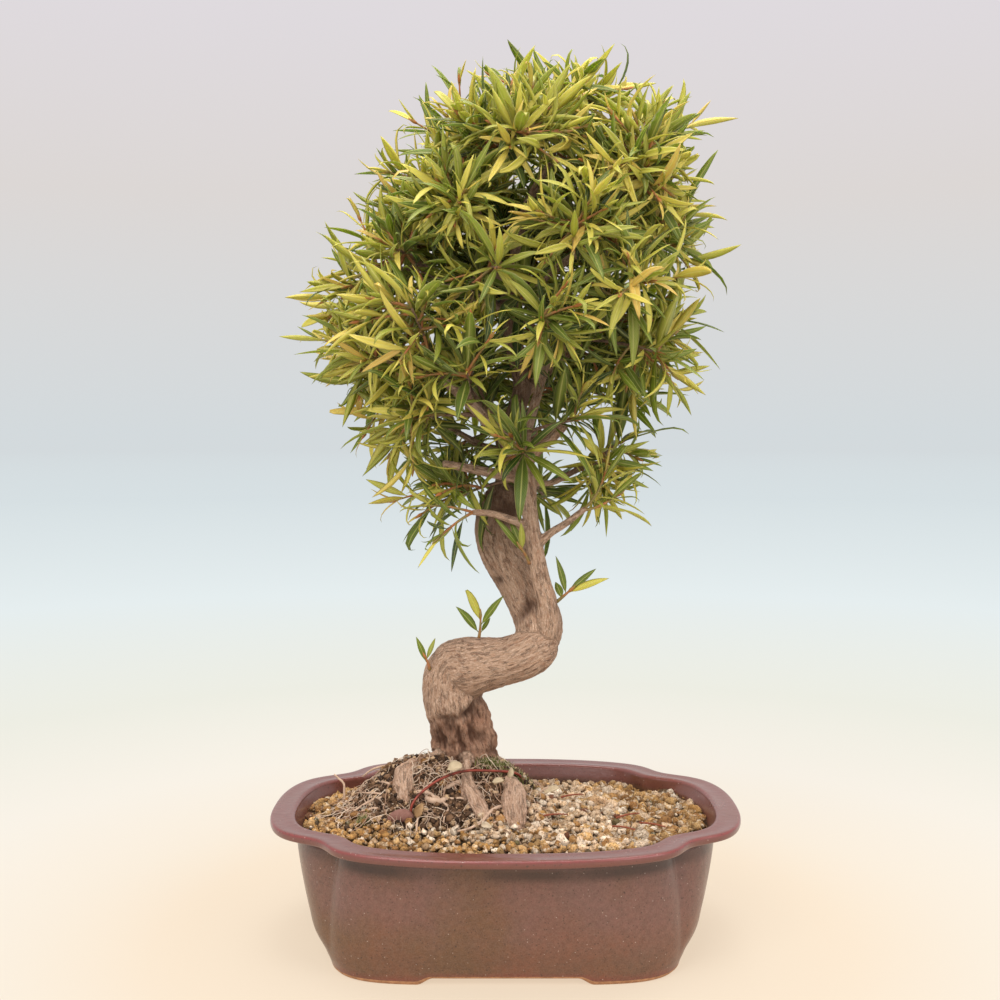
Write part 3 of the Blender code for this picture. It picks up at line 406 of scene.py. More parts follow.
def build_pot():
    """The pot's rings as one closed surface, with its two drain holes bored through."""
    rings, thin = pot_rings()
    count = len(rings)
    points = rings.reshape(-1, 3)
    middle = np.array([[0, 0, FOOT_RAISE], [0, 0, FLOOR_TOP]])
    faces = [wrap_quads(count, POT_SIDES), end_fans(count, POT_SIDES)]
    pot = put_mesh("glazed_pot", np.vstack([points, middle]), faces)
    mark(pot, "thin", np.concatenate([thin.ravel(), [-1, 0]]))
    for side_sign in (-1, 1):
        turn = np.linspace(0, 2 * math.pi, HOLE_SIDES, endpoint=False)
        circle = HOLE_RADIUS * np.stack([np.cos(turn), np.sin(turn)], axis=1) + (side_sign * HOLE_X, 0)
        heights = (-2.0, FLOOR_TOP + 6)
        bore = np.concatenate([np.column_stack([circle, np.full(HOLE_SIDES, z)]) for z in heights])
        side = np.arange(HOLE_SIDES)
        ends = [wrap_quads(2, HOLE_SIDES), side[None, ::-1], (HOLE_SIDES + side)[None, :]]
        cutter = put_mesh("drain_bore", bore, ends, smooth=False)
        cut = pot.modifiers.new("drain", "BOOLEAN")
        cut.operation = "DIFFERENCE"
        cut.solver = "EXACT"
        cut.object = cutter
        bake_modifiers(pot)
        bpy.data.objects.remove(cutter)
    return pot


def bake_modifiers(item):
    """Replaces a piece's mesh with what its modifiers make of it."""
    depsgraph = bpy.context.evaluated_depsgraph_get()
    depsgraph.update()
    mesh = bpy.data.meshes.new_from_object(item.evaluated_get(depsgraph))
    item.modifiers.clear()
    old = item.data
    item.data = mesh
    bpy.data.meshes.remove(old)


def noise_node(tree, scale, detail=2.0, vector=None, roughness=0.5, distortion=0.0):
    """A noise texture on Object coordinates or on a given vector; returns its value."""
    node = tree.nodes.new("ShaderNodeTexNoise")
    node.inputs["Scale"].default_value = scale
    node.inputs["Detail"].default_value = detail
    node.inputs["Roughness"].default_value = roughness
    node.inputs["Distortion"].default_value = distortion
    if vector is None:
        vector = tree.nodes.new("ShaderNodeTexCoord").outputs["Object"]
    tree.links.new(vector, node.inputs["Vector"])
    return node.outputs["Fac"]


def span_node(tree, value, low, high, to_low=0.0, to_high=1.0):
    """Stretches a value's stretch from low to high over another, held at its ends."""
    node = tree.nodes.new("ShaderNodeMapRange")
    node.inputs["From Min"].default_value = low
    node.inputs["From Max"].default_value = high
    node.inputs["To Min"].default_value = to_low
    node.inputs["To Max"].default_value = to_high
    tree.links.new(value, node.inputs["Value"])
    return node.outputs["Result"]


def blend_node(tree, share, first, second, kind="MIX"):
    """Blends two colours, each a socket or a fixed colour, by a share, a socket or a number."""
    node = tree.nodes.new("ShaderNodeMix")
    node.data_type = "RGBA"
    node.blend_type = kind
    for socket, value in ((0, share), (6, first), (7, second)):
        if isinstance(value, bpy.types.NodeSocket):
            tree.links.new(value, node.inputs[socket])
        else:
            node.inputs[socket].default_value = value if socket == 0 else (*value, 1.0)
    return node.outputs[2]


def times(tree, first, second):
    """The product of two values, each a socket or a number."""
    return math_node(tree, "MULTIPLY", first, second)


def wash(tree, colour, shade, mask, share):
    """A thin wash of a shade over a colour, by a mask times a share."""
    return blend_node(tree, times(tree, mask, share), colour, shade)


def attribute_node(tree, name, output="Fac"):
    """A piece's own stored values."""
    node = tree.nodes.new("ShaderNodeAttribute")
    node.attribute_name = name
    return node.outputs[output]


def bump_node(tree, height, strength, distance, shader):
    """Feeds a height, scaled by a distance in metres, into the shader's normal."""
    node = tree.nodes.new("ShaderNodeBump")
    node.inputs["Strength"].default_value = strength
    node.inputs["Distance"].default_value = distance
    tree.links.new(height, node.inputs["Height"])
    tree.links.new(node.outputs["Normal"], shader.inputs["Normal"])


def spot_mask(tree, scale, size):
    """Round specks: 1 within a distance of scattered points and 0 outside."""
    node = tree.nodes.new("ShaderNodeTexVoronoi")
    node.inputs["Scale"].default_value = scale
    place = tree.nodes.new("ShaderNodeTexCoord")
    tree.links.new(place.outputs["Object"], node.inputs["Vector"])
    return span_node(tree, node.outputs["Distance"], size, size * 0.6)


def bell_node(tree, value, low, high, soft):
    """A value's share between low and high, faded over a soft stretch at both ends."""
    rising = span_node(tree, value, low - soft, low)
    return times(tree, rising, span_node(tree, value, high + soft, high))


def glaze_material():
    """Brown glaze clouded with mauve and rust, with painted shade under the rim, red on thin edges, finely
    specked.
    """
    material, tree, shader = new_material("satin_glaze", shine=0.45)
    thin = attribute_node(tree, "thin")
    split = tree.nodes.new("ShaderNodeSeparateXYZ")
    tree.links.new(tree.nodes.new("ShaderNodeTexCoord").outputs["Object"], split.inputs["Vector"])
    height = split.outputs["Z"]
    clouds = span_node(tree, noise_node(tree, 15.0, 4.0), 0.42, 0.58)
    clouds = times(tree, clouds, span_node(tree, height, 0.008, 0.034, 0.25, 1.0))
    rust = span_node(tree, noise_node(tree, 24.0, 3.0), 0.4, 0.62)
    rust = times(tree, rust, span_node(tree, height, 0.045, 0.008, 0.25, 0.9))
    mottle = span_node(tree, noise_node(tree, 330.0, 4.0), 0.34, 0.66)
    grain = span_node(tree, noise_node(tree, 1300.0, 2.0), 0.35, 0.7)
    colour = blend_node(tree, clouds, GLAZE_BROWN, GLAZE_MAUVE)
    colour = blend_node(tree, rust, colour, GLAZE_RUST)
    colour = wash(tree, colour, GLAZE_DARK, mottle, 0.3)
    colour = wash(tree, colour, GLAZE_PALE, grain, 0.24)
    colour = blend_node(tree, span_node(tree, height, 0.0665, 0.0695, 0.0, 0.7), colour, GLAZE_RIM)
    # Painted shade: a ragged dark band on the wall just under the rim's overhang.
    under_rim_shade = bell_node(tree, height, 0.0625, 0.065, 0.004)
    under_rim_shade = times(tree, under_rim_shade, span_node(tree, noise_node(tree, 11.0, 3.0), 0.42, 0.58, 0.0, 0.75))
    colour = blend_node(tree, under_rim_shade, colour, GLAZE_DARK)
    edge = span_node(tree, thin, 0.1, 0.95, 0.0, 0.88)
    colour = wash(tree, colour, GLAZE_RED, edge, span_node(tree, mottle, 0.0, 1.0, 1.0, 0.6))
    colour = wash(tree, colour, GLAZE_DARK, spot_mask(tree, 420.0, 0.2), 0.6)
    colour = wash(tree, colour, GLAZE_DARK, spot_mask(tree, 150.0, 0.1), 0.65)
    colour = wash(tree, colour, GLAZE_SPECK, spot_mask(tree, 260.0, 0.09), 0.55)
    bare = span_node(tree, thin, -0.4, -0.6)
    colour = blend_node(tree, bare, colour, blend_node(tree, mottle, BARE_CLAY, CLAY_BROWN))
    tree.links.new(colour, shader.inputs["Base Color"])
    smooth = span_node(tree, noise_node(tree, 60.0, 3.0), 0.3, 0.7, 0.26, 0.38)
    rough = math_node(tree, "MAXIMUM", smooth, times(tree, bare, 0.85))
    tree.links.new(rough, shader.inputs["Roughness"])
    tree.links.new(span_node(tree, height, 0.06, 0.074, 0.08, 0.42), shader.inputs["Coat Weight"])
    shader.inputs["Coat Roughness"].default_value = 0.16
    skin = math_node(tree, "ADD", noise_node(tree, 260.0, 2.0), times(tree, noise_node(tree, 45.0), 1.5))
    bump_node(tree, skin, 0.5, 0.0004, shader)
    return material


pot = build_pot()
pot.data.materials.clear()
pot.data.materials.append(glaze_material())
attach(pot, "root")
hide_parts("pot")

# Drain screens: two squares of black plastic mesh over the holes, under the
# soil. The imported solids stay, with a scuffed matte plastic of their own.
PLASTIC_BLACK = (0.018, 0.018, 0.02)
PLASTIC_SCUFFED = (0.06, 0.058, 0.056)


def screen_material():
    """Black plastic with greyer scuffs and a fine grain."""
    material, tree, shader = new_material("mesh_plastic")
    scuffs = span_node(tree, noise_node(tree, 300.0, 4.0), 0.45, 0.7)
    tree.links.new(blend_node(tree, scuffs, PLASTIC_BLACK, PLASTIC_SCUFFED), shader.inputs["Base Color"])
    tree.links.new(span_node(tree, scuffs, 0.0, 1.0, 0.5, 0.75), shader.inputs["Roughness"])
    bump_node(tree, noise_node(tree, 900.0), 0.3, 0.0002, shader)
    return material


plastic = screen_material()
for node in ("drain_screen_1", "drain_screen_2"):
    screen = frame["nodes"][node]
    screen.data.materials.clear()
    screen.data.materials.append(plastic)

# Soil bed: grit that fills the pot nearly to the rim at the front and lower
# at the back, with a mound of dark root humus round the trunk.
SOIL_MIDDLE = 69.5
SOIL_TILT = -0.045
MOUND_POWER = 1.3
MOUND_HEAPS = (
    (-35.0, 6.0, 54.0, 42.0, 29.0), (-24.0, 2.0, 21.0, 17.0, 5.5), (3.0, -6.0, 17.0, 15.0, 9.0),
    (-66.0, -6.0, 24.0, 18.0, 7.5),
)
HUMUS_MIDDLE = (-38.0, -1.0)
HUMUS_HALF = (53.0, 44.0)
HUMUS_SQUARENESS = 2.6
BED_RINGS = 70
HUMUS_DARK = (0.04, 0.022, 0.014)
HUMUS_BROWN = (0.17, 0.098, 0.056)
GRIT_SHADE = (0.11, 0.062, 0.03)


def lattice_noise(points, seed):
    """Smooth noise: seeded values on a unit lattice, eased together along each axis."""
    values = np.random.default_rng(seed).random((32, 32, 32)) * 2 - 1
    cell = np.floor(points).astype(int)
    way = points - cell
    way = way ** 3 * (way * (way * 6 - 15) + 10)
    total = np.zeros(len(points))
    for corner in np.ndindex(2, 2, 2):
        share = np.prod(np.where(corner, way, 1 - way), axis=1)
        place = (cell + corner) % 32
        total += share * values[place[:, 0], place[:, 1], place[:, 2]]
    return total


def cloud_noise(points, seed, octaves=3):
    """Noise summed over octaves, each half as large and half as strong as the last."""
    total = np.zeros(len(points))
    for octave in range(octaves):
        total += lattice_noise(points * 2 ** octave + 7.3 * octave, seed + octave) / 2 ** octave
    return total


def soil_level(x, y):
    """The bed's level: a slope that rises to the front, and bell-shaped heaps, the root mound first."""
    level = SOIL_MIDDLE + SOIL_TILT * y
    for heap_x, heap_y, half_x, half_y, height in MOUND_HEAPS:
        reach = ((x - heap_x) / half_x) ** 2 + ((y - heap_y) / half_y) ** 2
        level = level + height * np.exp(-(reach ** MOUND_POWER))
    return level


def humus_share(x, y):
    """How much of the ground is humus: 1 in the middle of the mound and 0 outside, with a ragged edge."""
    across = np.abs((x - HUMUS_MIDDLE[0]) / HUMUS_HALF[0]) ** HUMUS_SQUARENESS
    along = np.abs((y - HUMUS_MIDDLE[1]) / HUMUS_HALF[1]) ** HUMUS_SQUARENESS
    reach = (across + along) ** (1 / HUMUS_SQUARENESS)
    ragged = 0.13 * cloud_noise(np.stack([x * 0.09, y * 0.09, np.zeros_like(x)], axis=-1).reshape(-1, 3), 71)
    return np.clip((1.04 - reach + ragged.reshape(np.shape(x))) / 0.12, 0, 1)


def ground_relief(x, y, humus):
    """Crumbs and hollows: deep and rough in the humus, shallow under the grit."""
    flat = np.stack([x, y, np.zeros_like(x)], axis=-1).reshape(-1, 3)
    crumbs = cloud_noise(flat * 0.3, 72, 4).reshape(np.shape(x))
    hollows = lattice_noise(flat * 0.1, 73).reshape(np.shape(x))
    return humus * (1.8 * crumbs + 1.9 * hollows) - 0.4 - (1 - humus) * 3.4


def build_bed():
    """The bed: rings of the pot's inside plan, shrunk to the middle at the soil's level, on a flat base."""
    share = np.linspace(1.0, 0.0, BED_RINGS + 1)[:-1] ** 0.85
    rim = inside_plan(np.array([66.0]))[0]
    plan = share[:, None, None] * rim[None]
    humus = humus_share(plan[..., 0], plan[..., 1])
    level = soil_level(plan[..., 0], plan[..., 1]) + ground_relief(plan[..., 0], plan[..., 1], humus)
    top = np.concatenate([plan, level[..., None]], axis=-1)
    skirt = []
    for height in (FLOOR_TOP + 0.4, 25.0, 45.0):
        inner = inside_plan(np.array([height]))[0] * 0.996
        skirt.append(np.column_stack([inner, np.full(POT_SIDES, height)]))
    rings = np.concatenate([np.array(skirt), top])
    count = len(rings)
    middle = np.array([[0, 0, FLOOR_TOP + 0.4], [0, 0, soil_level(0.0, 0.0)]])
    points = np.vstack([rings.reshape(-1, 3), middle])
    bed = put_mesh("soil_bed", points, [wrap_quads(count, POT_SIDES), end_fans(count, POT_SIDES)])
    mark(bed, "humus", np.concatenate([np.zeros(3 * POT_SIDES), humus.ravel(), [0, 1]]))
    return bed


def bed_material():
    """Dark crumbly humus where stored, and elsewhere brown grit dust mixed with a darker painted shade for
    the gaps between grains.
    """
    material, tree, shader = new_material("soil", 0.95, 0.15)
    crumbs = span_node(tree, noise_node(tree, 380.0, 5.0), 0.35, 0.65)
    humus = blend_node(tree, crumbs, HUMUS_DARK, HUMUS_BROWN)
    # Between the grains: brown dust and a darker painted shade for the gaps.
    grit = blend_node(tree, crumbs, HUMUS_BROWN, GRIT_SHADE)
    tree.links.new(blend_node(tree, attribute_node(tree, "humus"), grit, humus), shader.inputs["Base Color"])
    bump_node(tree, crumbs, 0.8, 0.0012, shader)
    return material


bed = build_bed()
bed.data.materials.append(bed_material())
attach(bed, "root")
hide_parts("soil")

# Grit: loose rounded grains, mostly tan akadama at both ends and along the
# front and pale pumice between them, with dark lava here and there.
GRAIN_PITCH = 5.5
GRAIN_RADIUS = (1.8, 3.6)
GRAIN_WANDER = 1.8
FINE_PITCH = 4.2
FINE_RADIUS = (0.6, 1.5)
FINE_WANDER = 2.3
FINE_SHARE = 0.45
AKADAMA = ((0.58, 0.33, 0.115), (0.73, 0.47, 0.21), (0.39, 0.205, 0.078))
PUMICE = ((0.82, 0.6, 0.39), (0.6, 0.4, 0.225), (0.99, 0.84, 0.66))
LAVA = ((0.11, 0.07, 0.045), (0.24, 0.1, 0.055), (0.19, 0.16, 0.075))
GRIT_DUST = (0.5, 0.38, 0.28)
GRIT_BLOOM = (0.86, 0.76, 0.6)
GRIT_PIT = (0.085, 0.05, 0.028)
GRAIN_SEED = 31


def unit(vectors):
    """Vectors made one long."""
    return vectors / np.maximum(np.linalg.norm(vectors, axis=-1, keepdims=True), 1e-9)


def lay_loose(name, points, faces, tints, material, slot):
    """Puts loose things in as one piece with a colour for every point."""
    item = put_mesh(name, points, faces)
    mark(item, "tint", np.column_stack([tints, np.ones(len(tints))]), "FLOAT_COLOR")
    item.data.materials.append(material)
    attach(item, "root")


def ball_mesh(levels):
    """A ball of even triangles, as directions and faces."""
    work = bmesh.new()
    bmesh.ops.create_icosphere(work, subdivisions=levels, radius=1.0)
    work.verts.ensure_lookup_table()
    points = np.array([vertex.co[:] for vertex in work.verts])
    faces = np.array([[corner.index for corner in face.verts] for face in work.faces])
    work.free()
    return unit(points), faces


def turned(vectors, draw):
    """Turns each group of vectors by its own random rotation, from a random quaternion."""
    w, x, y, z = unit(draw.normal(size=(len(vectors), 4))).T
    turns = np.stack([
        np.stack([1 - 2 * (y * y + z * z), 2 * (x * y - z * w), 2 * (x * z + y * w)], axis=1),
        np.stack([2 * (x * y + z * w), 1 - 2 * (x * x + z * z), 2 * (y * z - x * w)], axis=1),
        np.stack([2 * (x * z - y * w), 2 * (y * z + x * w), 1 - 2 * (x * x + y * y)], axis=1),
    ], axis=1)
    return np.einsum("nij,nkj->nki", turns, vectors)


def lumps(centres, radii, levels, rough, draw):
    """Grains: a ball whose reach varies by smooth noise, squashed, turned and put at each centre."""
    ball, faces = ball_mesh(levels)
    count = len(centres)
    shift = draw.uniform(0, 31, (count, 1, 3))
    noise = lattice_noise((ball[None] * 1.25 + shift).reshape(-1, 3), 81).reshape(count, -1)
    squash = draw.uniform(0.68, 1.18, (count, 1, 3))
    shapes = turned(ball[None] * (1 + rough * noise)[..., None] * squash, draw)
    points = centres[:, None] + shapes * radii[:, None, None]
    first = np.arange(count)[:, None, None] * len(ball)
    return points.reshape(-1, 3), (faces[None] + first).reshape(-1, 3), len(ball)


def inside_share(x, y, inset=0.0):
    """How far out a place lies in the pot's inside plan: 1 at the wall."""
    rim = inside_plan(np.array([67.0]))[0]
    turn = np.arctan2(rim[:, 1], rim[:, 0])
    order = np.argsort(turn)
    reaches = np.hypot(rim[:, 0], rim[:, 1])[order]
    reach = np.interp(np.arctan2(y, x), turn[order], reaches, period=2 * math.pi)
    return np.hypot(x, y) / (reach - inset)


def grain_places(pitch, wander, draw):
    """Places on a staggered grid over the bed, each moved a little."""
    rows = np.arange(-95.0, 95.0, pitch * 0.87)
    columns = np.arange(-125.0, 125.0, pitch)
    x = columns[None] + pitch * 0.5 * (np.arange(len(rows)) % 2)[:, None]
    y = np.broadcast_to(rows[:, None], x.shape)
    places = np.stack([x.ravel(), y.ravel()], axis=1)
    return places + draw.uniform(-wander, wander, places.shape)


def grain_tints(centres, draw):
    """Each grain's kind by its place, akadama or pumice with some lava, and its own colour of that kind."""
    x, y = centres[:, 0], centres[:, 1]
    tan = np.maximum.reduce([
        np.clip((-30.0 - x) / 30.0, 0, 1), 0.7 * np.clip((-50.0 - y - 0.12 * x) / 18.0, 0, 1),
        0.85 * np.clip((x - 58.0) / 28.0, 0, 1),
    ])
    tan = np.clip(0.16 + 0.78 * tan, 0, 1)
    kind = np.where(draw.random(len(x)) < tan, 0, 1)
    kind = np.where(draw.random(len(x)) < 0.04, 2, kind)
    palette = np.array((AKADAMA, PUMICE, LAVA))
    first = palette[kind, draw.integers(0, 3, len(x))]
    second = palette[kind, draw.integers(0, 3, len(x))]
    share = draw.random((len(x), 1))
    # Each grain is brighter or darker at random, and the grains grow darker towards the right end.
    grain_tone = draw.uniform(0.6, 1.18, len(x)) * (1 - 0.24 * np.clip((x - 56.0) / 34.0, 0, 1))
    return (first * share + second * (1 - share)) * grain_tone[:, None], kind


def grain_material():
    """Each grain's own colour, dusted and stained, with the pits of porous stone."""
    material, tree, shader = new_material("porous_grit", 0.93, 0.2)
    tint = attribute_node(tree, "tint", "Color")
    dust = span_node(tree, noise_node(tree, 420.0, 4.0), 0.35, 0.65)
    colour = blend_node(tree, times(tree, dust, 0.65), tint, GRIT_DUST, "MULTIPLY")
    pale = span_node(tree, noise_node(tree, 330.0, 3.0), 0.54, 0.68)
    colour = wash(tree, colour, GRIT_BLOOM, pale, 0.55)
    pits = spot_mask(tree, 900.0, 0.36)
    colour = wash(tree, colour, GRIT_PIT, pits, 0.62)
    tree.links.new(colour, shader.inputs["Base Color"])
    relief = math_node(tree, "SUBTRACT", dust, times(tree, pits, 1.2))
    bump_node(tree, relief, 0.7, 0.0006, shader)
    return material


def lay_grains(name, centres, radii, tints, levels, rough, draw):
    """One piece of loose grains, with a colour stored for each, darkened towards the underside as painted
    shade.
    """
    points, faces, each = lumps(centres, radii, levels, rough, draw)
    raised = (points[:, 2] - np.repeat(centres[:, 2], each)) / np.repeat(radii, each)
    # Painted shade: each grain darkens from a little above its middle down to its underside.
    underside_shade = np.interp(raised, (-0.6, -0.2, 0.3), (0.12, 0.45, 1.0))[:, None]
    lay_loose(name, points, faces, np.repeat(tints, each, axis=0) * underside_shade, porous, "grains")


porous = grain_material()
ground_draw = np.random.default_rng(GRAIN_SEED)
centres, radii = [], []
for depth, bulk in ((-3.4, 1.05), (-0.6, 0.92)):
    places = grain_places(GRAIN_PITCH, GRAIN_WANDER, ground_draw)
    coarse = 0.86 + 0.26 * np.clip((places[:, 0] + 10.0) / 90.0, 0, 1)
    radius = ground_draw.uniform(*GRAIN_RADIUS, len(places)) * bulk * coarse
    radius = radius * np.where(ground_draw.random(len(places)) < 0.06 * (places[:, 0] > 20.0), 1.35, 1.0)
    free = 1 - humus_share(*places.T)
    keep = inside_share(*places.T, radius + 0.4) < 1
    keep &= ground_draw.random(len(places)) < free + 0.06
    places, radius = places[keep], radius[keep]
    level = soil_level(*places.T) + depth + ground_draw.uniform(-1.3, 1.5, len(places))
    centres.append(np.column_stack([places, level]))
    radii.append(radius)
centres, radii = np.vstack(centres), np.concatenate(radii)
tints, kind = grain_tints(centres, ground_draw)
for name, mine in (("akadama_grains", kind == 0), ("pumice_grains", kind == 1), ("lava_grains", kind == 2)):
    lay_grains(name, centres[mine], radii[mine], tints[mine], 2, 0.6, ground_draw)
places = grain_places(FINE_PITCH, FINE_WANDER, ground_draw)
keep = (inside_share(*places.T, 2.2) < 1) & (humus_share(*places.T) < 0.6)
places = places[keep & (ground_draw.random(len(places)) < FINE_SHARE)]
small = np.column_stack([places, soil_level(*places.T) + ground_draw.uniform(-1.8, 1.3, len(places))])
radii = ground_draw.uniform(*FINE_RADIUS, len(small))
tints = grain_tints(small, ground_draw)[0]
lay_grains("fine_grains", small, radii, tints, 1, 0.5, ground_draw)

# Trunk, surface roots and limbs: one fig grown in two tight bends, with a
# thinner front stem fused to its shoulder. The bark is thin, pinkish tan and
# finely streaked along the grain, rough and red-brown below the first crease.
LOWER_TRUNK = (
    (-24, 14, 62, 22.5), (-24, 15, 80, 21.5), (-24, 15, 94, 20.9), (-25, 15, 107, 19.3),
    (-29, 13, 124, 18.3), (-33, 10, 142, 18.1), (-33, 8, 158, 15.0), (-32, 7, 167, 8.0),
)
SWING = (
    (-45, 9, 151, 6.5), (-39, 8, 153, 12.8), (-31, 7, 156, 16.9), (-19, 3, 158, 17.2),
    (-2, -4, 162, 14.5), (10, -8, 166, 14.1), (19, -9, 171, 13.3), (25, -8, 174, 9.6),
    (29, -8, 177, 4.6),
)
RISE = (
    (21, -7, 164, 6.0), (20, -6, 172, 11.9), (20, -3, 183, 14.4), (16, 3, 195, 14.2),
    (8, 9, 210, 14.0), (0, 14, 224, 14.7), (-4, 18, 237, 15.1), (-4, 19, 248, 13.9),
    (-3, 18, 257, 11.1), (0, 17, 266, 6.5),
)
LEADER = (
    (-3, 19, 246, 9.0), (-1, 18, 262, 5.6), (-1, 18, 278, 5.2), (0, 18, 294, 5.8),
    (6, 17, 311, 5.8), (10, 15, 328, 5.5), (6, 12, 349, 5.5), (3, 10, 370, 5.8), (1, 9, 389, 4.8),
)
FRONT_STEM = (
    (22, -9, 171, 5.0), (25, -13, 183, 6.0), (25, -16, 197, 6.3), (21, -18, 212, 5.6),
    (17, -18, 234, 5.0), (14, -16, 254, 5.0), (12, -15, 269, 6.4), (9, -13, 281, 5.2),
    (11, -9, 294, 3.8), (16, -5, 311, 3.1), (22, -4, 331, 2.6), (28, -6, 354, 2.1),
)
LIMBS = {
    "top_left": (
        (1, 9, 386, 4.6), (-5, 6, 399, 4.2), (-11, 4, 412, 3.6), (-17, 0, 430, 3.0), (-21, -4, 450, 2.3),
    ),
    "top_right": (
        (1, 9, 386, 4.2), (5, 12, 401, 3.7), (8, 14, 420, 3.3), (16, 14, 444, 2.8), (28, 10, 464, 2.2),
    ),
    "low_left": ((9, -14, 272, 3.5), (-3, -18, 274, 3.1), (-21, -26, 278, 2.6), (-36, -32, 281, 2.1)),
    "rear_left": ((9, -8, 281, 3.0), (-3, 4, 286, 2.7), (-17, 16, 292, 2.3), (-35, 30, 302, 1.9)),
    "stub": (
        (9, -12, 281, 4.4), (0, -18, 294, 3.9), (-9, -24, 303, 3.5), (-20, -32, 315, 3.1),
        (-36, -43, 329, 2.5),
    ),
    "up_right": ((10, -12, 278, 4.1), (20, -20, 290, 3.5), (28, -27, 297, 3.2), (34, -33, 303, 2.6)),
    "low_right": ((15, -12, 269, 2.4), (28, -6, 269, 2.0), (43, 2, 276, 1.7), (58, 10, 281, 1.5)),
    "lowest_left": ((14, -17, 243, 2.8), (3, -24, 248, 2.4), (-9, -30, 252, 2.1), (-19, -35, 253, 1.7)),
    "lowest_right": ((19, -18, 233, 2.9), (26, -22, 240, 2.4), (35, -27, 246, 2.1), (46, -32, 255, 1.7)),
    "back_left": (
        (0, 18, 291, 5.2), (-7, 26, 308, 4.7), (-14, 34, 320, 4.1), (-24, 44, 337, 3.2), (-38, 50, 356, 2.3),
    ),
    "right_mid": ((8, 16, 319, 3.9), (25, 22, 336, 3.2), (44, 26, 352, 2.6), (64, 28, 366, 2.0)),
    "right_up": ((2, 10, 373, 3.7), (18, 4, 388, 3.1), (36, -6, 401, 2.5), (56, -14, 413, 1.9)),
    "left_up": ((2, 10, 369, 3.4), (-15, 4, 379, 2.9), (-33, -4, 388, 2.4), (-52, -10, 397, 1.9)),
    "back_up": ((2, 11, 354, 3.9), (4, 28, 372, 3.3), (8, 42, 395, 2.7), (13, 48, 420, 2.1)),
    "back_low": ((-1, 18, 270, 4.6), (4, 34, 276, 3.6), (12, 48, 286, 2.7), (20, 58, 300, 2.0)),
}
ROOTS = {
    "front": (
        (-24, 2, 104, 4.6), (-23, -8, 102, 2.9), (-23, -15, 98, 3.0), (-22, -21, 92, 5.4),
        (-19, -28, 87, 6.0), (-15, -33, 81, 5.2), (-12, -37, 74, 3.4), (-11, -39, 68, 1.6),
    ),
    "right": (
        (-14, 4, 97, 6.0), (-4, -6, 94, 4.0), (3, -15, 90, 5.6), (5, -23, 86, 7.2),
        (5, -30, 81, 7.3), (6, -35, 74, 6.2), (7, -38, 66, 3.8),
    ),
    "left": (
        (-36, 6, 101, 6.5), (-48, -1, 101, 3.8), (-57, -8, 98, 5.6), (-60, -16, 93, 6.6),
        (-59, -23, 87, 5.8), (-57, -28, 80, 3.8), (-55, -31, 72, 1.8),
    ),
    "far_left": (
        (-42, 10, 98, 5.0), (-62, 8, 97, 3.0), (-76, 1, 91, 2.4), (-88, -8, 80, 1.8), (-96, -14, 70, 1.1),
    ),
    "back": ((-30, 28, 94, 6.5), (-36, 44, 83, 4.4), (-44, 56, 74, 3.0), (-50, 66, 65, 1.6)),
    "back_right": ((-8, 24, 93, 6.5), (8, 34, 80, 4.6), (22, 42, 72, 3.2), (32, 48, 65, 1.8)),
}
ROOT_NUMBER = 2 + len(LIMBS)
WOOD_VOXEL = 1.0
PATHS_APART = 211.0
POINTS_AT_ONCE = 8192
CREASE_POINT = np.array([-24.0, 0.0, 133.0])
CREASE_NORMAL = np.array([-0.46, 0.1, 0.88])
CREASE_MIDDLE = np.array([-20.0, -8.0, 134.0])
LEDGE_POINT = np.array([-27.0, 0.0, 110.0])
LEDGE_NORMAL = np.array([0.15, 0.05, 0.98])
KNOTS = (
    ((-4.5, 0.0, 209.5), 2.6, 1.2), ((14.5, -14.0, 198.0), 2.8, 2.2), ((11.5, -14.0, 194.0), 3.4, 3.2),
    ((8.0, -13.0, 190.0), 3.0, 2.6), ((4.0, -10.0, 186.0), 2.8, 2.0), ((0.0, -6.0, 182.5), 2.6, 1.4),
    ((-33.0, -7.0, 121.0), 5.0, 1.2), ((-17.0, -4.0, 118.0), 3.5, 0.9),
    ((-28.0, -5.0, 103.0), 4.0, 1.0), ((2.0, 6.0, 250.0), 6.0, 1.2), ((30.0, -15.0, 196.0), 3.0, 0.9),
)
BARK_TAN = (0.68, 0.43, 0.285)
BARK_PALE = (0.92, 0.68, 0.51)
BARK_BROWN = (0.41, 0.215, 0.128)
BARK_DARK = (0.085, 0.036, 0.02)
BARK_RUST = (0.36, 0.155, 0.085)


def smooth_path(rows, step):
    """A Catmull-Rom curve through rows of numbers, read about every step millimetres."""
    rows = np.asarray(rows, float)
    padded = np.vstack([2 * rows[0] - rows[1], rows, 2 * rows[-1] - rows[-2]])
    path = [rows[0]]
    for index in range(len(rows) - 1):
        before, start, end, after = padded[index:index + 4]
        span = np.linalg.norm(end[:3] - start[:3])
        count = max(1, round(span / step))
        for share in np.arange(1, count + 1) / count:
            path.append(
                0.5 * (2 * start + (end - before) * share
                       + (2 * before - 5 * start + 4 * end - after) * share ** 2
                       + (3 * start - before - 3 * end + after) * share ** 3)
            )
    return np.array(path)


def run_along(line):
    """How far along a line each of its points lies, from 0 at its start."""
    return np.concatenate([[0], np.cumsum(np.linalg.norm(np.diff(line[:, :3], axis=0), axis=1))])


def path_frames(line):
    """Tangent and two cross directions at each point, turned along the line without twist."""
    tangent = np.gradient(line, axis=0)
    tangent /= np.linalg.norm(tangent, axis=1, keepdims=True)
    side = np.cross(tangent[0], np.eye(3)[np.argmin(np.abs(tangent[0]))])
    sides = []
    for ahead in tangent:
        side = side - ahead * (side @ ahead)
        side = side / np.linalg.norm(side)
        sides.append(side)
    sides = np.array(sides)
    return tangent, sides, np.cross(tangent, sides)


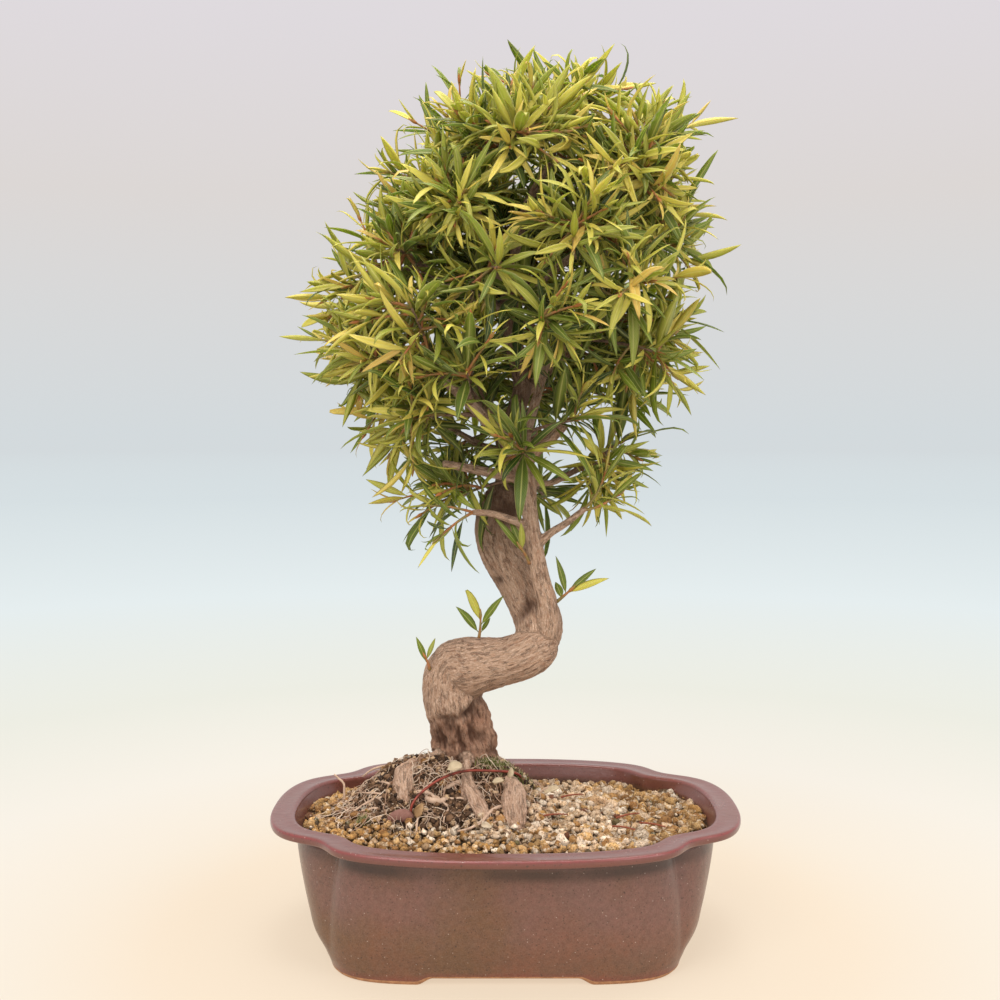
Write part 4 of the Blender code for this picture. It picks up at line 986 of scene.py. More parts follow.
def round_bar(rows, sides):
    """A tube: circle of each row's radius in the path's cross plane, closed by a point at both ends."""
    rows = np.asarray(rows, float)
    tangent, across, over = path_frames(rows[:, :3])
    turn = np.arange(sides) * 2 * math.pi / sides
    spokes = np.cos(turn)[None, :, None] * across[:, None] + np.sin(turn)[None, :, None] * over[:, None]
    rings = rows[:, None, :3] + rows[:, None, 3:4] * spokes
    tips = np.array([
        rows[0, :3] - tangent[0] * rows[0, 3] * 0.5,
        rows[-1, :3] + tangent[-1] * rows[-1, 3] * 0.5,
    ])
    points = np.vstack([rings.reshape(-1, 3), tips])
    return points, wrap_quads(len(rows), sides), end_fans(len(rows), sides)


def join_parts(parts):
    """Several (points, quads, triangles) as one."""
    points, quads, triangles = [], [], []
    first = 0
    for part_points, part_quads, part_triangles in parts:
        points.append(part_points)
        quads.append(part_quads + first)
        triangles.append(part_triangles + first)
        first += len(part_points)
    return np.vstack(points), np.vstack(quads), np.vstack(triangles)


def mesh_arrays(item):
    """A mesh's points in millimetres, its edges and its point normals."""
    mesh = item.data
    points = np.empty(len(mesh.vertices) * 3, np.float32)
    mesh.vertices.foreach_get("co", points)
    edges = np.empty(len(mesh.edges) * 2, np.int32)
    mesh.edges.foreach_get("vertices", edges)
    normals = np.empty(len(mesh.vertices) * 3, np.float32)
    mesh.vertex_normals.foreach_get("vector", normals)
    return points.reshape(-1, 3) / MM, edges.reshape(-1, 2), normals.reshape(-1, 3).astype(float)


def move_points(item, points):
    """Puts changed points, in millimetres, back into a mesh."""
    item.data.vertices.foreach_set("co", (points * MM).astype(np.float32).ravel())
    item.data.update()


def even_out(points, edges, share, rounds):
    """Moves each point towards the mean of its neighbours by its share, for some rounds."""
    count = len(points)
    degree = np.bincount(edges.ravel(), minlength=count)[:, None]
    for _ in range(rounds):
        total = np.stack([
            np.bincount(edges[:, 0], points[edges[:, 1], axis], count)
            + np.bincount(edges[:, 1], points[edges[:, 0], axis], count) for axis in range(3)
        ], axis=1)
        points = points + share[:, None] * (total / degree - points)
    return points


def along_grain(points, paths):
    """Where points lie on the nearest path: across, over and along it, its radius and its number.

    Nearness is the distance to a path's point less 0.9 of the radius there. The
    last value is how far the nearness to the first two paths differs.
    """
    lines = [smooth_path(rows, 2.0) for rows in paths]
    frames = [path_frames(line[:, :3]) for line in lines]
    steps = [run_along(line) for line in lines]
    centre = np.vstack([line[:, :3] for line in lines])
    radius = np.concatenate([line[:, 3] for line in lines])
    number = np.concatenate([np.full(len(line), index) for index, line in enumerate(lines)])
    tangent, across, over = (np.vstack([frame[kind] for frame in frames]) for kind in range(3))
    along = np.concatenate(steps) + number * PATHS_APART
    nearest = np.empty(len(points), int)
    parting = np.empty(len(points))
    for start in range(0, len(points), POINTS_AT_ONCE):
        block = slice(start, start + POINTS_AT_ONCE)
        away = np.linalg.norm(points[block, None] - centre[None], axis=2) - 0.9 * radius[None]
        nearest[block] = np.argmin(away, axis=1)
        parting[block] = away[:, number == 0].min(axis=1) - away[:, number == 1].min(axis=1)
    offset = points - centre[nearest]
    grain = np.stack([
        np.sum(offset * across[nearest], axis=1),
        np.sum(offset * over[nearest], axis=1),
        along[nearest] + np.sum(offset * tangent[nearest], axis=1),
    ], axis=1)
    return grain, radius[nearest], number[nearest], parting


def bark_relief(points, grain, radius, number, parting):
    """Height of the bark and how dark it is, from ridges and streaks along the grain.

    Below the crease the bark is rougher and redder. The crease is deep in the
    hollow of the bend and fades round the trunk. Knots and a low ledge sink in,
    and so does the seam where the front stem meets the trunk. The crease, the
    ledge, the knots and the seam are painted dark as shade in their hollows, and
    the wood is painted darker higher up, as shade under the crown and partly as
    darker bark.
    """
    level = points[:, 2]
    thick = np.clip((radius - 2.0) / 9.0, 0, 1)
    streaks = cloud_noise(grain * (0.42, 0.42, 0.05), 11, 3)
    ridges = lattice_noise(grain * (0.11, 0.11, 0.016), 21)
    pits = cloud_noise(points * 0.4, 31, 2)
    height = thick * (0.5 * ridges + 0.24 * streaks + 0.2 * pits) + (1 - thick) * 0.18 * streaks
    low = (number == 0) * np.clip((150.0 - level) / 10.0, 0, 1)
    ragged = cloud_noise(points * 0.075, 41, 3)
    below = (points - CREASE_POINT) @ CREASE_NORMAL + 3.2 * ragged
    rough = low * np.clip((2.0 - below) / 9.0, 0, 1)
    cracks = cloud_noise(grain * (0.26, 0.26, 0.085), 51, 3)
    gnarl = cloud_noise(points * 0.13, 57, 2)
    height = height + rough * (1.6 * cracks + 1.1 * gnarl - 0.2)
    height = height + (number >= ROOT_NUMBER) * 1.1 * cloud_noise(points * 0.16, 61, 3)
    hollow = 0.25 + 0.75 * np.exp(-np.sum(((points - CREASE_MIDDLE) / (15.0, 15.0, 14.0)) ** 2, axis=1))
    fold = low * hollow * np.exp(-((below + 1.0) / 2.3) ** 2)
    lip = low * hollow * np.exp(-((below - 5.0) / 3.6) ** 2)
    ledge = low * np.exp(-((((points - LEDGE_POINT) @ LEDGE_NORMAL + 2.6 * ragged) / 2.2) ** 2))
    height = height - 3.0 * fold + 1.2 * lip - 1.3 * ledge
    # Painted shade in the crease and on the ledge; the low cracks of the rough bark are darker too.
    dark = 0.04 * rough + 0.85 * fold + 0.45 * ledge - 1.15 * np.clip(cracks, -1, 0) * rough
    dark = dark - 0.45 * rough * np.clip(gnarl, -0.7, 1)
    # Painted shade along the seam between the front stem and the trunk; the main trunk's bark is darker
    # above 188 mm.
    seam = np.exp(-((parting / 1.5) ** 2)) * np.clip((level - 190.0) / 12.0, 0, 1) * (level < 262.0)
    height = height - 1.5 * seam
    dark = dark + 0.5 * seam + 0.2 * (number == 0) * np.clip((level - 188.0) / 14.0, 0, 1)
    # Knots: sunk in and painted dark, as shade in their hollows and darker bark.
    for place, size, depth in KNOTS:
        near = np.exp(-np.sum(((points - place) / (size, 2.2 * size, size)) ** 2, axis=1))
        height = height - depth * near
        dark = dark + 0.85 * near
    dark = dark - 0.22 * np.clip(streaks, -1, 0) * thick
    # Painted shade under the crown, partly darker bark: the main trunk darkens above 222 mm, the other wood
    # a little, and all wood more above 330 mm.
    crown = np.clip((level - 222.0) / 36.0, 0, 1)
    dark = dark + crown * np.where(number == 0, 0.42, 0.1) + np.clip((level - 330.0) / 60.0, 0, 1) * 0.25
    return height, np.clip(dark, 0, 1), rough


def build_wood():
    """Bars along every path, melted into one skin, evened where they meet and given their bark."""
    main = np.vstack([LOWER_TRUNK[:5], SWING[2:7], RISE[1:9], LEADER[2:]])
    bars = [LOWER_TRUNK, SWING, RISE, LEADER, FRONT_STEM, *LIMBS.values(), *ROOTS.values()]
    parts = [round_bar(smooth_path(rows, 3.0), 32 if rows[0][3] > 5.5 else 16) for rows in bars]
    points, quads, caps = join_parts(parts)
    wood = put_mesh("fig_wood", points, [quads, caps])
    melt = wood.modifiers.new("melt", "REMESH")
    melt.mode = "VOXEL"
    melt.voxel_size = WOOD_VOXEL * MM
    melt.adaptivity = 0.0
    melt.use_smooth_shade = True
    bake_modifiers(wood)
    points, edges, _ = mesh_arrays(wood)
    paths = [main, FRONT_STEM, *LIMBS.values(), *ROOTS.values()]
    radius = along_grain(points, paths)[1]
    points = even_out(points, edges, np.clip((radius - 2.5) / 14.0, 0.05, 0.55), 9)
    grain, radius, number, parting = along_grain(points, paths)
    move_points(wood, points)
    _, _, normals = mesh_arrays(wood)
    height, dark, rough = bark_relief(points, grain, radius, number, parting)
    move_points(wood, points + normals * height[:, None])
    mark(wood, "grain", grain, "FLOAT_VECTOR")
    # The stored darkness holds darker bark and painted shade together.
    mark(wood, "dark", dark)
    mark(wood, "rough", rough)
    mark(wood, "root", (number >= ROOT_NUMBER).astype(float))
    return wood


def scaled(tree, vector, scale):
    """A vector stretched along its axes."""
    node = tree.nodes.new("ShaderNodeMapping")
    node.inputs["Scale"].default_value = scale
    tree.links.new(vector, node.inputs["Vector"])
    return node.outputs["Vector"]


def streak_group():
    """Node group: streaks, cracks and flecks along a grain vector in millimetres, as shares from 0 to 1."""
    group = bpy.data.node_groups.new("bark_streaks", "ShaderNodeTree")
    group.interface.new_socket("Grain", in_out="INPUT", socket_type="NodeSocketVector")
    for name in ("Streaks", "Cracks", "Fine"):
        group.interface.new_socket(name, in_out="OUTPUT", socket_type="NodeSocketFloat")
    source = group.nodes.new("NodeGroupInput").outputs["Grain"]
    sink = group.nodes.new("NodeGroupOutput")
    broad = noise_node(group, 1.0, 4.0, scaled(group, source, (0.4, 0.4, 0.06)), 0.6)
    fine = noise_node(group, 1.0, 3.0, scaled(group, source, (1.7, 1.7, 0.3)), 0.65)
    group.links.new(span_node(group, broad, 0.38, 0.62), sink.inputs["Streaks"])
    group.links.new(span_node(group, fine, 0.4, 0.62), sink.inputs["Fine"])
    total = None
    for stretch, width, cut in (((1.0, 1.0, 0.2), 0.026, 0.5), ((2.0, 2.0, 0.42), 0.05, 0.52)):
        ridge = noise_node(group, 1.0, 2.0, scaled(group, source, stretch), 0.5, 0.8)
        away = math_node(group, "ABSOLUTE", math_node(group, "SUBTRACT", ridge, 0.5))
        line = span_node(group, away, width, 0.0)
        patches = noise_node(group, 1.0, 1.0, scaled(group, source, (0.5, 0.5, 0.16)))
        line = times(group, line, span_node(group, patches, cut, cut + 0.1))
        total = line if total is None else math_node(group, "MAXIMUM", total, line)
    group.links.new(total, sink.inputs["Cracks"])
    return group


def bark_material():
    """Tan bark with pale flecks, brown streaks and dark broken cracks, darker where stored, partly as
    painted shade in hollows and under the crown, and rustier where stored.
    """
    material, tree, shader = new_material("fig_bark", 0.85, 0.25)
    streaks = tree.nodes.new("ShaderNodeGroup")
    streaks.node_tree = STREAKS
    tree.links.new(attribute_node(tree, "grain", "Vector"), streaks.inputs["Grain"])
    dark = attribute_node(tree, "dark")
    root = attribute_node(tree, "root")
    rough = attribute_node(tree, "rough")
    blotch = span_node(tree, noise_node(tree, 42.0, 3.0), 0.4, 0.62)
    pores = span_node(tree, noise_node(tree, 900.0, 2.0), 0.5, 0.66)
    colour = blend_node(tree, streaks.outputs["Streaks"], BARK_BROWN, BARK_TAN)
    colour = wash(tree, colour, BARK_TAN, blotch, 0.4)
    colour = wash(tree, colour, BARK_PALE, streaks.outputs["Fine"], 0.62)
    colour = wash(tree, colour, BARK_PALE, root, 0.12)
    colour = wash(tree, colour, BARK_RUST, rough, 0.55)
    colour = wash(tree, colour, BARK_BROWN, pores, 0.35)
    # Painted shade in the crease, ledge, knots and seam and under the crown, with darker bark, from the
    # stored darkness.
    colour = wash(tree, colour, BARK_DARK, dark, 0.85)
    colour = wash(tree, colour, BARK_DARK, streaks.outputs["Cracks"], 0.7)
    tree.links.new(colour, shader.inputs["Base Color"])
    height = math_node(tree, "ADD", streaks.outputs["Streaks"], streaks.outputs["Fine"])
    height = math_node(tree, "SUBTRACT", height, times(tree, streaks.outputs["Cracks"], 1.6))
    height = math_node(tree, "SUBTRACT", height, times(tree, pores, 0.4))
    bump_node(tree, height, 0.8, 0.0009, shader)
    return material


STREAKS = streak_group()
wood = build_wood()
bark = bark_material()
wood.data.materials.clear()
wood.data.materials.append(bark)
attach(wood, "root")
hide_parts("trunk")

# Branches: thin brown wood that forks from the limbs towards every leafy
# spray, grown here by the same rule as the solids, so each lies in its place.
CROWN_OUTLINE = (
    (236, -50, 52), (255, -64, 72), (285, -84, 95), (310, -100, 112), (345, -119, 123), (380, -124, 128),
    (410, -100, 127), (440, -90, 124), (470, -72, 120), (495, -56, 114), (512, -36, 102), (530, -10, 76),
)
CROWN_DEPTH = 0.84
CROWN_ROUNDNESS = 2.3
CROWN_CENTRE = np.array((6.0, 2.0, 375.0))
OUTER_SPRAYS = 39
INNER_SPRAYS = 5
INNER_SHARE = 0.5
LEAF_REACH = 27.0
TWIG_LENGTH = 46.0
TWIG_RADIUS = 1.0
BRANCH_RADIUS = 1.25
GROW_STEP = 18.0
READ_STEP = 2.0
TARGET_SPREAD = 0.06
TARGET_TRIES = 30
FORK_EVERY = 4
STEM_COST = 14.0
PATH_COST = 0.6
ABOVE_MARGIN = 12.0
ABOVE_COST = 0.6
NEAR_SHARE = 0.8
NEAR_COST = 60.0
CLEARANCE = 0.7
GAP = 0.3
GROWTH_SEED = 5
GOLDEN_ANGLE = math.pi * (3.0 - math.sqrt(5.0))
BRANCH_BROWN = (0.13, 0.066, 0.04)
BRANCH_TAN = (0.27, 0.165, 0.11)
SHOOT_RED = (0.48, 0.17, 0.05)
SHOOT_GREEN = (0.26, 0.2, 0.05)


def crown_edge(height):
    """Left, right and half depth of the crown at a height."""
    table = np.array(CROWN_OUTLINE, float)
    left = np.interp(height, table[:, 0], table[:, 1])
    right = np.interp(height, table[:, 0], table[:, 2])
    return left, right, (right - left) / 2 * CROWN_DEPTH


def crown_reach(direction):
    """How far the crown's surface is from its centre in a direction, by halving."""
    near, far = 0.0, 300.0
    for _ in range(24):
        middle = (near + far) / 2
        x, y, z = CROWN_CENTRE + middle * direction
        inside = CROWN_OUTLINE[0][0] < z < CROWN_OUTLINE[-1][0]
        if inside:
            left, right, depth = crown_edge(z)
            across = abs((x - (left + right) / 2) / ((right - left) / 2)) ** CROWN_ROUNDNESS
            inside = across + abs(y / depth) ** CROWN_ROUNDNESS < 1
        near, far = (middle, far) if inside else (near, middle)
    return near


def even_directions(count, draw, spread):
    """Directions spread evenly over a sphere on a golden spiral, each moved a little."""
    up = 1 - 2 * (np.arange(count) + 0.5) / count
    flat = np.sqrt(1 - up * up)
    turn = np.arange(count) * GOLDEN_ANGLE
    directions = np.stack([flat * np.cos(turn), flat * np.sin(turn), up], axis=1)
    directions = directions + draw.uniform(-spread, spread, (count, 3))
    return directions / np.linalg.norm(directions, axis=1, keepdims=True)


def spray_targets():
    """Where each twig ends: spread evenly over the crown, some of them halfway in."""
    draw = np.random.default_rng(GROWTH_SEED)
    targets = []
    for count, share in ((OUTER_SPRAYS, 1.0), (INNER_SPRAYS, INNER_SHARE)):
        for direction in even_directions(count, draw, TARGET_SPREAD):
            targets.append(CROWN_CENTRE + (crown_reach(direction) - LEAF_REACH) * share * direction)
    return targets


def bezier(start, lean, end, count):
    """Points on the arc from start to end that sets out towards lean."""
    share = np.linspace(0, 1, count)[:, None]
    return (1 - share) ** 2 * start + 2 * share * (1 - share) * lean + share ** 2 * end


def densely(rows):
    """Rows of x, y, z and radius, read closely along their straight stretches."""
    along = run_along(rows)
    stations = np.linspace(0, along[-1], max(2, round(along[-1] / READ_STEP)))
    return np.column_stack([np.interp(stations, along, rows[:, axis]) for axis in range(4)])


def spare_between(rows, others):
    """The narrowest gap between two sets of round bars, from rows read densely."""
    if len(others) == 0:
        return math.inf
    away = np.linalg.norm(rows[:, None, :3] - others[None, :, :3], axis=2)
    return float((away - rows[:, None, 3] - others[None, :, 3]).min())


def branch_to(target, start, outward):
    """A branch and its twig on one arc from start to target, as rows with radii."""
    reach = target - start
    length = np.linalg.norm(reach)
    lean = start + reach * 0.45 + np.array((0, 0, 0.1 * length)) + outward * 0.05 * length
    path = bezier(start, lean, target, 4 * max(4, round(length / GROW_STEP) + 1))
    along = run_along(path)
    split = max(along[-1] - TWIG_LENGTH, 0.3 * along[-1])
    parts = []
    for stations, radii in (
        (np.linspace(0, split, max(2, round(split / GROW_STEP) + 1)), (BRANCH_RADIUS * 1.5, BRANCH_RADIUS)),
        (np.linspace(split, along[-1], 4), (TWIG_RADIUS * 1.15, TWIG_RADIUS * 0.75)),
    ):
        rows = [np.interp(stations, along, path[:, axis]) for axis in range(3)]
        parts.append(np.column_stack([*rows, np.linspace(*radii, len(stations))]))
    branch, twig = parts
    step = twig[1, :3] - twig[0, :3]
    twig[0, :3] += GAP * step / np.linalg.norm(step)
    return branch, twig


def grow_crown(wood_rows):
    """A branch from the nearest wood towards each target, and the twig that goes on from it.

    Nearness counts the way back along the wood too, so branches fork outwards.
    A twig that would touch other wood is moved a little, and left out where that fails.
    """
    draw = np.random.default_rng(GROWTH_SEED + 1)
    points = np.vstack([rows[:, :3] for rows in wood_rows])
    costs = np.concatenate([np.linspace(0, 1, len(rows)) * STEM_COST for rows in wood_rows])
    wood_bars = np.vstack([densely(rows) for rows in wood_rows])
    twigs = np.zeros((0, 4))
    targets = spray_targets()
    order = sorted(range(len(targets)), key=lambda k: np.linalg.norm(points - targets[k], axis=1).min())
    grown = {}
    for index in order:
        outward = targets[index] - CROWN_CENTRE
        outward /= np.linalg.norm(outward)
        for attempt in range(TARGET_TRIES):
            target = targets[index] + draw.uniform(-0.5, 0.5, 3) * attempt
            gap = points - target
            distance = np.linalg.norm(gap, axis=1)
            above = np.where(gap[:, 2] > ABOVE_MARGIN, ABOVE_COST * gap[:, 2], 0.0)
            near = np.where(distance < TWIG_LENGTH * NEAR_SHARE, NEAR_COST, 0.0)
            foot = int(np.argmin(distance + above + near + costs * PATH_COST))
            branch, twig = branch_to(target, points[foot], outward)
            twig_bar = densely(twig)
            branch_bar = densely(branch)
            spare = spare_between(twig_bar, np.vstack([wood_bars, twigs]))
            spare = min(spare, spare_between(branch_bar, twigs))
            if spare > CLEARANCE:
                grown[index] = (branch, twig)
                wood_bars = np.vstack([wood_bars, branch_bar])
                twigs = np.vstack([twigs, twig_bar])
                forks = branch_bar[FORK_EVERY - 1::FORK_EVERY, :3]
                away = np.linalg.norm(forks - branch[0, :3], axis=1)
                points = np.vstack([points, forks])
                costs = np.concatenate([costs, costs[foot] + away])
                break
    return [grown[index] for index in sorted(grown)]


def twig_material():
    """Brown wood, tan where old, with red-brown shoots and buds towards the leaves by the stored youth."""
    material, tree, shader = new_material("twig_bark", 0.65)
    young = attribute_node(tree, "young")
    grain = noise_node(tree, 520.0, 3.0)
    colour = blend_node(tree, span_node(tree, grain, 0.35, 0.65), BRANCH_BROWN, BRANCH_TAN)
    fresh = blend_node(tree, span_node(tree, noise_node(tree, 140.0), 0.42, 0.6), SHOOT_RED, SHOOT_GREEN)
    colour = blend_node(tree, young, colour, fresh)
    tree.links.new(colour, shader.inputs["Base Color"])
    bump_node(tree, grain, 0.4, 0.0004, shader)
    return material


stems = (LEADER, FRONT_STEM, RISE, SWING, *LIMBS.values())
grown = grow_crown([smooth_path(rows, 12.0) for rows in stems])
branch_parts = []
for branch, _ in grown:
    rows = smooth_path(branch, 4.0)
    sway = np.stack([lattice_noise(rows[:, :3] * 0.05, 61 + axis) for axis in range(3)], axis=1)
    ends = np.minimum(1, np.minimum(np.arange(len(rows)), np.arange(len(rows))[::-1]) / 3.0)[:, None]
    rows[:, :3] += 1.6 * sway * ends
    rows[:, 3] *= 1 + 0.16 * lattice_noise(rows[:, :3] * 0.22, 64)
    branch_parts.append(round_bar(rows, 10))
points, quads, caps = join_parts(branch_parts)
branches = put_mesh("thin_branches", points, [quads, caps])
mark(branches, "young", np.zeros(len(points)))
twig_bark = twig_material()
branches.data.materials.append(twig_bark)
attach(branches, "root")
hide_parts("trunk")

# Leafy sprays: each twig forks into short shoots that end in a red-brown bud
# and carry lance-shaped leaves in a spiral. Leaves are stiff and shiny, folded
# along a pale midrib, arched back, yellow-green outside and dark inside, partly
# as painted light and shade.
SHOOT_LAYERS = (
    (310, 1.0, 18.0, -1.0), (160, 0.8, 5.0, -1.0), (72, 0.56, 0.0, -1.0), (340, 0.96, 15.0, 0.36),
    (190, 0.82, 6.0, 0.42),
)
CAMERA_AWAY = 770.0
CAMERA_LEVEL = CAMERA_PLACE[2] / MM
CROWN_HOLLOWS = (
    (0.0, 398.0, 26.0, 38.0), (-4.0, 326.0, 32.0, 26.0), (36.0, 300.0, 24.0, 16.0),
    (-46.0, 410.0, 26.0, 14.0), (56.0, 392.0, 20.0, 14.0),
)
CROWN_TRIM = np.array((
    (-180, 2), (-160, 2), (-141, 12), (-90, 4), (-53, 15), (-20, 16), (-2, 17), (6, 3), (12, 4), (20, 13),
    (30, 9), (40, 13), (50, 9), (65, 10), (80, 14), (110, 12), (140, 16), (158, 13), (171, 7), (180, 2),
), float).T
TIP_INSET = 22.0
SHOOT_SPREAD = 0.12
LUMP_DEPTH = 13.0
GAP_LEVEL = -0.3
NO_GAPS_ABOVE = 455.0
HOLLOW_BACK = 15.0
HOLLOW_KEPT = 0.12
OPEN_LEFT_OUT = 0.96
SHOOT_CLEAR = 16.0
SHOOT_CLEAR_COST = 30.0
CROWN_TIPS = (
    (-33, -6, 529), (48, 4, 533), (106, -14, 512), (126, -4, 499), (124, 10, 433), (130, -8, 403),
    (120, 6, 348), (123, -6, 312), (90, -12, 267), (70, -4, 241), (-106, -4, 436), (-130, 6, 380),
    (-134, -8, 351), (-106, -10, 312), (-101, 4, 285), (-82, -14, 270), (-76, -10, 240), (-58, -16, 231),
    (12, 6, 537), (82, 8, 527), (-64, 4, 505), (-84, -6, 470), (-116, 8, 405), (128, -4, 455), (118, 8, 380),
)
SHOOT_RADII = (0.95, 0.55)
LIMB_SHOOTS = (
    ((-18.0, -34.5, 252.8), (-30.0, -40.0, 257.0), (-44.0, -38.0, 257.0)),
    ((-18.5, -34.8, 253.0), (-26.0, -42.0, 250.0), (-37.0, -45.0, 240.0)),
    ((45.0, -31.5, 254.4), (53.0, -36.0, 262.0), (57.0, -33.0, 274.0)),
    ((44.5, -31.3, 254.0), (54.0, -33.0, 255.0), (64.0, -30.0, 262.0)),
    ((-35.0, -42.0, 328.0), (-42.0, -50.0, 334.0), (-47.0, -56.0, 344.0)),
)
LEAVES_PER_SHOOT = (8, 12)
LEAF_LENGTH = (19.0, 37.0)
LONGEST_LEAF = 46.0
LEAF_TO_TIP = 44.0
TIP_AWAY = 9.0
TIP_TAKEN = 7.0
YOUNG_LENGTH = (9.0, 19.0)
LEAF_SLIMNESS = (0.108, 0.168)
BLADE_STATIONS = np.array((0.0, 0.07, 0.17, 0.31, 0.46, 0.61, 0.76, 0.89))
BLADE_WIDTHS = np.array((0.11, 0.13, 0.52, 0.88, 1.0, 0.92, 0.66, 0.34))
BLADE_THICK = 0.28
SECTION_ACROSS = np.array((-1.0, -0.5, 0.0, 0.5, 1.0, 0.0))
SECTION_RIDGE = np.array((0.0, 0.55, 0.0, 0.55, 0.0, -1.0))
BUD_LENGTH = 6.5
BUD_RADIUS = 1.1
LEAF_DARK = (0.028, 0.05, 0.008)
LEAF_GREEN = (0.15, 0.19, 0.016)
LEAF_YELLOW = (0.68, 0.58, 0.09)
LEAF_GOLD = (0.64, 0.4, 0.085)
LEAF_MOTTLE = (0.62, 0.72, 0.6)
MIDRIB_PALE = (0.64, 0.59, 0.19)
UNDER_PALE = (0.3, 0.29, 0.075)


def leaf_blades(leaves):
    """Blades for rows of foot, direction, upper side, length, width, arch, curl, twist and fold.

    The middle line turns down by arch times the way along, and by curl near
    the tip. Across, each blade is a shallow V with a keel under its midrib.
    Returns points, quads, triangles, every point's place on its blade, and how
    many points a blade has.
    """
    foot, along, upper = leaves["foot"], unit(leaves["along"]), leaves["upper"]
    across = unit(np.cross(along, upper))
    lift = np.cross(across, along)
    stations = np.append(BLADE_STATIONS, 1.0)
    late = np.clip((stations - 0.62) / 0.38, 0, 1) ** 2
    bend = leaves["arch"][:, None] * stations + leaves["curl"][:, None] * late
    steps = np.diff(stations)
    middle_bend = (bend[:, 1:] + bend[:, :-1]) / 2
    ahead = np.cumsum(np.cos(middle_bend) * steps, axis=1)
    down = np.cumsum(np.sin(middle_bend) * steps, axis=1)
    ahead = np.pad(ahead, ((0, 0), (1, 0))) * leaves["length"][:, None]
    down = np.pad(down, ((0, 0), (1, 0))) * leaves["length"][:, None]
    middle = foot[:, None] + ahead[..., None] * along[:, None] - down[..., None] * lift[:, None]
    rise = np.cos(bend)[..., None] * lift[:, None] + np.sin(bend)[..., None] * along[:, None]
    turn = (leaves["twist"][:, None] * stations)[..., None]
    side = np.cos(turn) * across[:, None] + np.sin(turn) * rise
    rise = np.cos(turn) * rise - np.sin(turn) * across[:, None]
    half = leaves["width"][:, None] / 2 * BLADE_WIDTHS[None]
    thick = BLADE_THICK * (0.5 + 0.5 * BLADE_WIDTHS[None])
    fold = np.abs(SECTION_ACROSS)[None, None] * (half * leaves["fold"][:, None])[..., None]
    raised = fold + SECTION_RIDGE[None, None] * thick[..., None] * 0.7
    rings = (
        middle[:, :-1, None]
        + (SECTION_ACROSS[None, None] * half[..., None])[..., None] * side[:, :-1, None]
        + raised[..., None] * rise[:, :-1, None]
    )
    count, levels, corners = rings.shape[:3]
    points = np.concatenate([rings.reshape(count, -1, 3), middle[:, -1:]], axis=1)
    each = levels * corners + 1
    first = np.arange(count)[:, None, None] * each
    quads = (wrap_quads(levels, corners)[None] + first).reshape(-1, 4)
    corner = np.arange(corners)
    after = (corner + 1) % corners
    last = (levels - 1) * corners
    tip = np.stack([last + corner, last + after, np.full(corners, each - 1)], axis=1)
    heel = np.array([(0, 5, 1), (1, 5, 2), (2, 5, 3), (3, 5, 4)])
    triangles = (np.concatenate([tip, heel])[None] + first).reshape(-1, 3)
    place = np.stack(np.broadcast_arrays(
        SECTION_ACROSS[None, None],
        BLADE_STATIONS[None, :, None],
        (SECTION_RIDGE < 0)[None, None].astype(float),
    ), axis=-1)
    place = np.concatenate([place.reshape(1, -1, 3), [[[0.0, 1.0, 0.0]]]], axis=1)
    place = np.broadcast_to(place, (count, each, 3))
    return points.reshape(-1, 3), quads, triangles, place.reshape(-1, 3), each


def shoot_leaves(line, draw, vigour):
    """Leaves round a shoot: golden-angle turns, steeper and shorter towards its tip."""
    count = int(draw.integers(LEAVES_PER_SHOOT[0], LEAVES_PER_SHOOT[1] + 1))
    share = np.linspace(0.3, 1.0, count) + draw.uniform(-0.03, 0.03, count)
    share[-1] = 1.0
    along = run_along(line)
    reach = np.clip(share, 0, 1) * along[-1]
    foot = np.stack([np.interp(reach, along, line[:, axis]) for axis in range(3)], axis=1)
    axis_way = unit(np.stack([
        np.interp(np.minimum(reach + 2, along[-1]), along, line[:, axis])
        - np.interp(np.minimum(reach, along[-1] - 1), along, line[:, axis]) for axis in range(3)
    ], axis=1))
    turn = np.arange(count) * GOLDEN_ANGLE + draw.uniform(0, 6.28)
    side = unit(np.cross(axis_way, (0.13, 0.21, 0.97)))
    over = np.cross(side, axis_way)
    radial = np.cos(turn)[:, None] * side + np.sin(turn)[:, None] * over
    tilt = np.radians(np.interp(share, (0.3, 0.75, 1.0), (64, 46, 17)) + draw.uniform(-14, 14, count))
    way = np.cos(tilt)[:, None] * axis_way + np.sin(tilt)[:, None] * radial
    way = unit(way + draw.uniform(-0.14, 0.14, (count, 3)) + (0, 0, 0.16))
    young = np.clip((share - 0.8) / 0.2, 0, 1)
    mature = draw.uniform(*LEAF_LENGTH, count) * vigour
    length = mature + (draw.uniform(*YOUNG_LENGTH, count) - mature) * young * 0.85
    upper = axis_way * np.sin(tilt)[:, None] - radial * np.cos(tilt)[:, None] + (0, 0, 0.55)
    return {
        "foot": foot, "along": way, "upper": upper, "length": length,
        "width": length * draw.uniform(*LEAF_SLIMNESS, count) * (1 - 0.2 * young),
        "arch": draw.uniform(-0.1, 0.85, count),
        "curl": draw.choice((0.0, 0.3, 1.1, 2.4), count, p=(0.42, 0.28, 0.18, 0.12)),
        "twist": draw.normal(0, 0.45, count), "fold": draw.uniform(0.12, 0.55, count),
        "young": young, "shade": draw.normal(0, 0.23, count) + np.where(draw.random(count) < 0.04, 0.4, 0),
    }


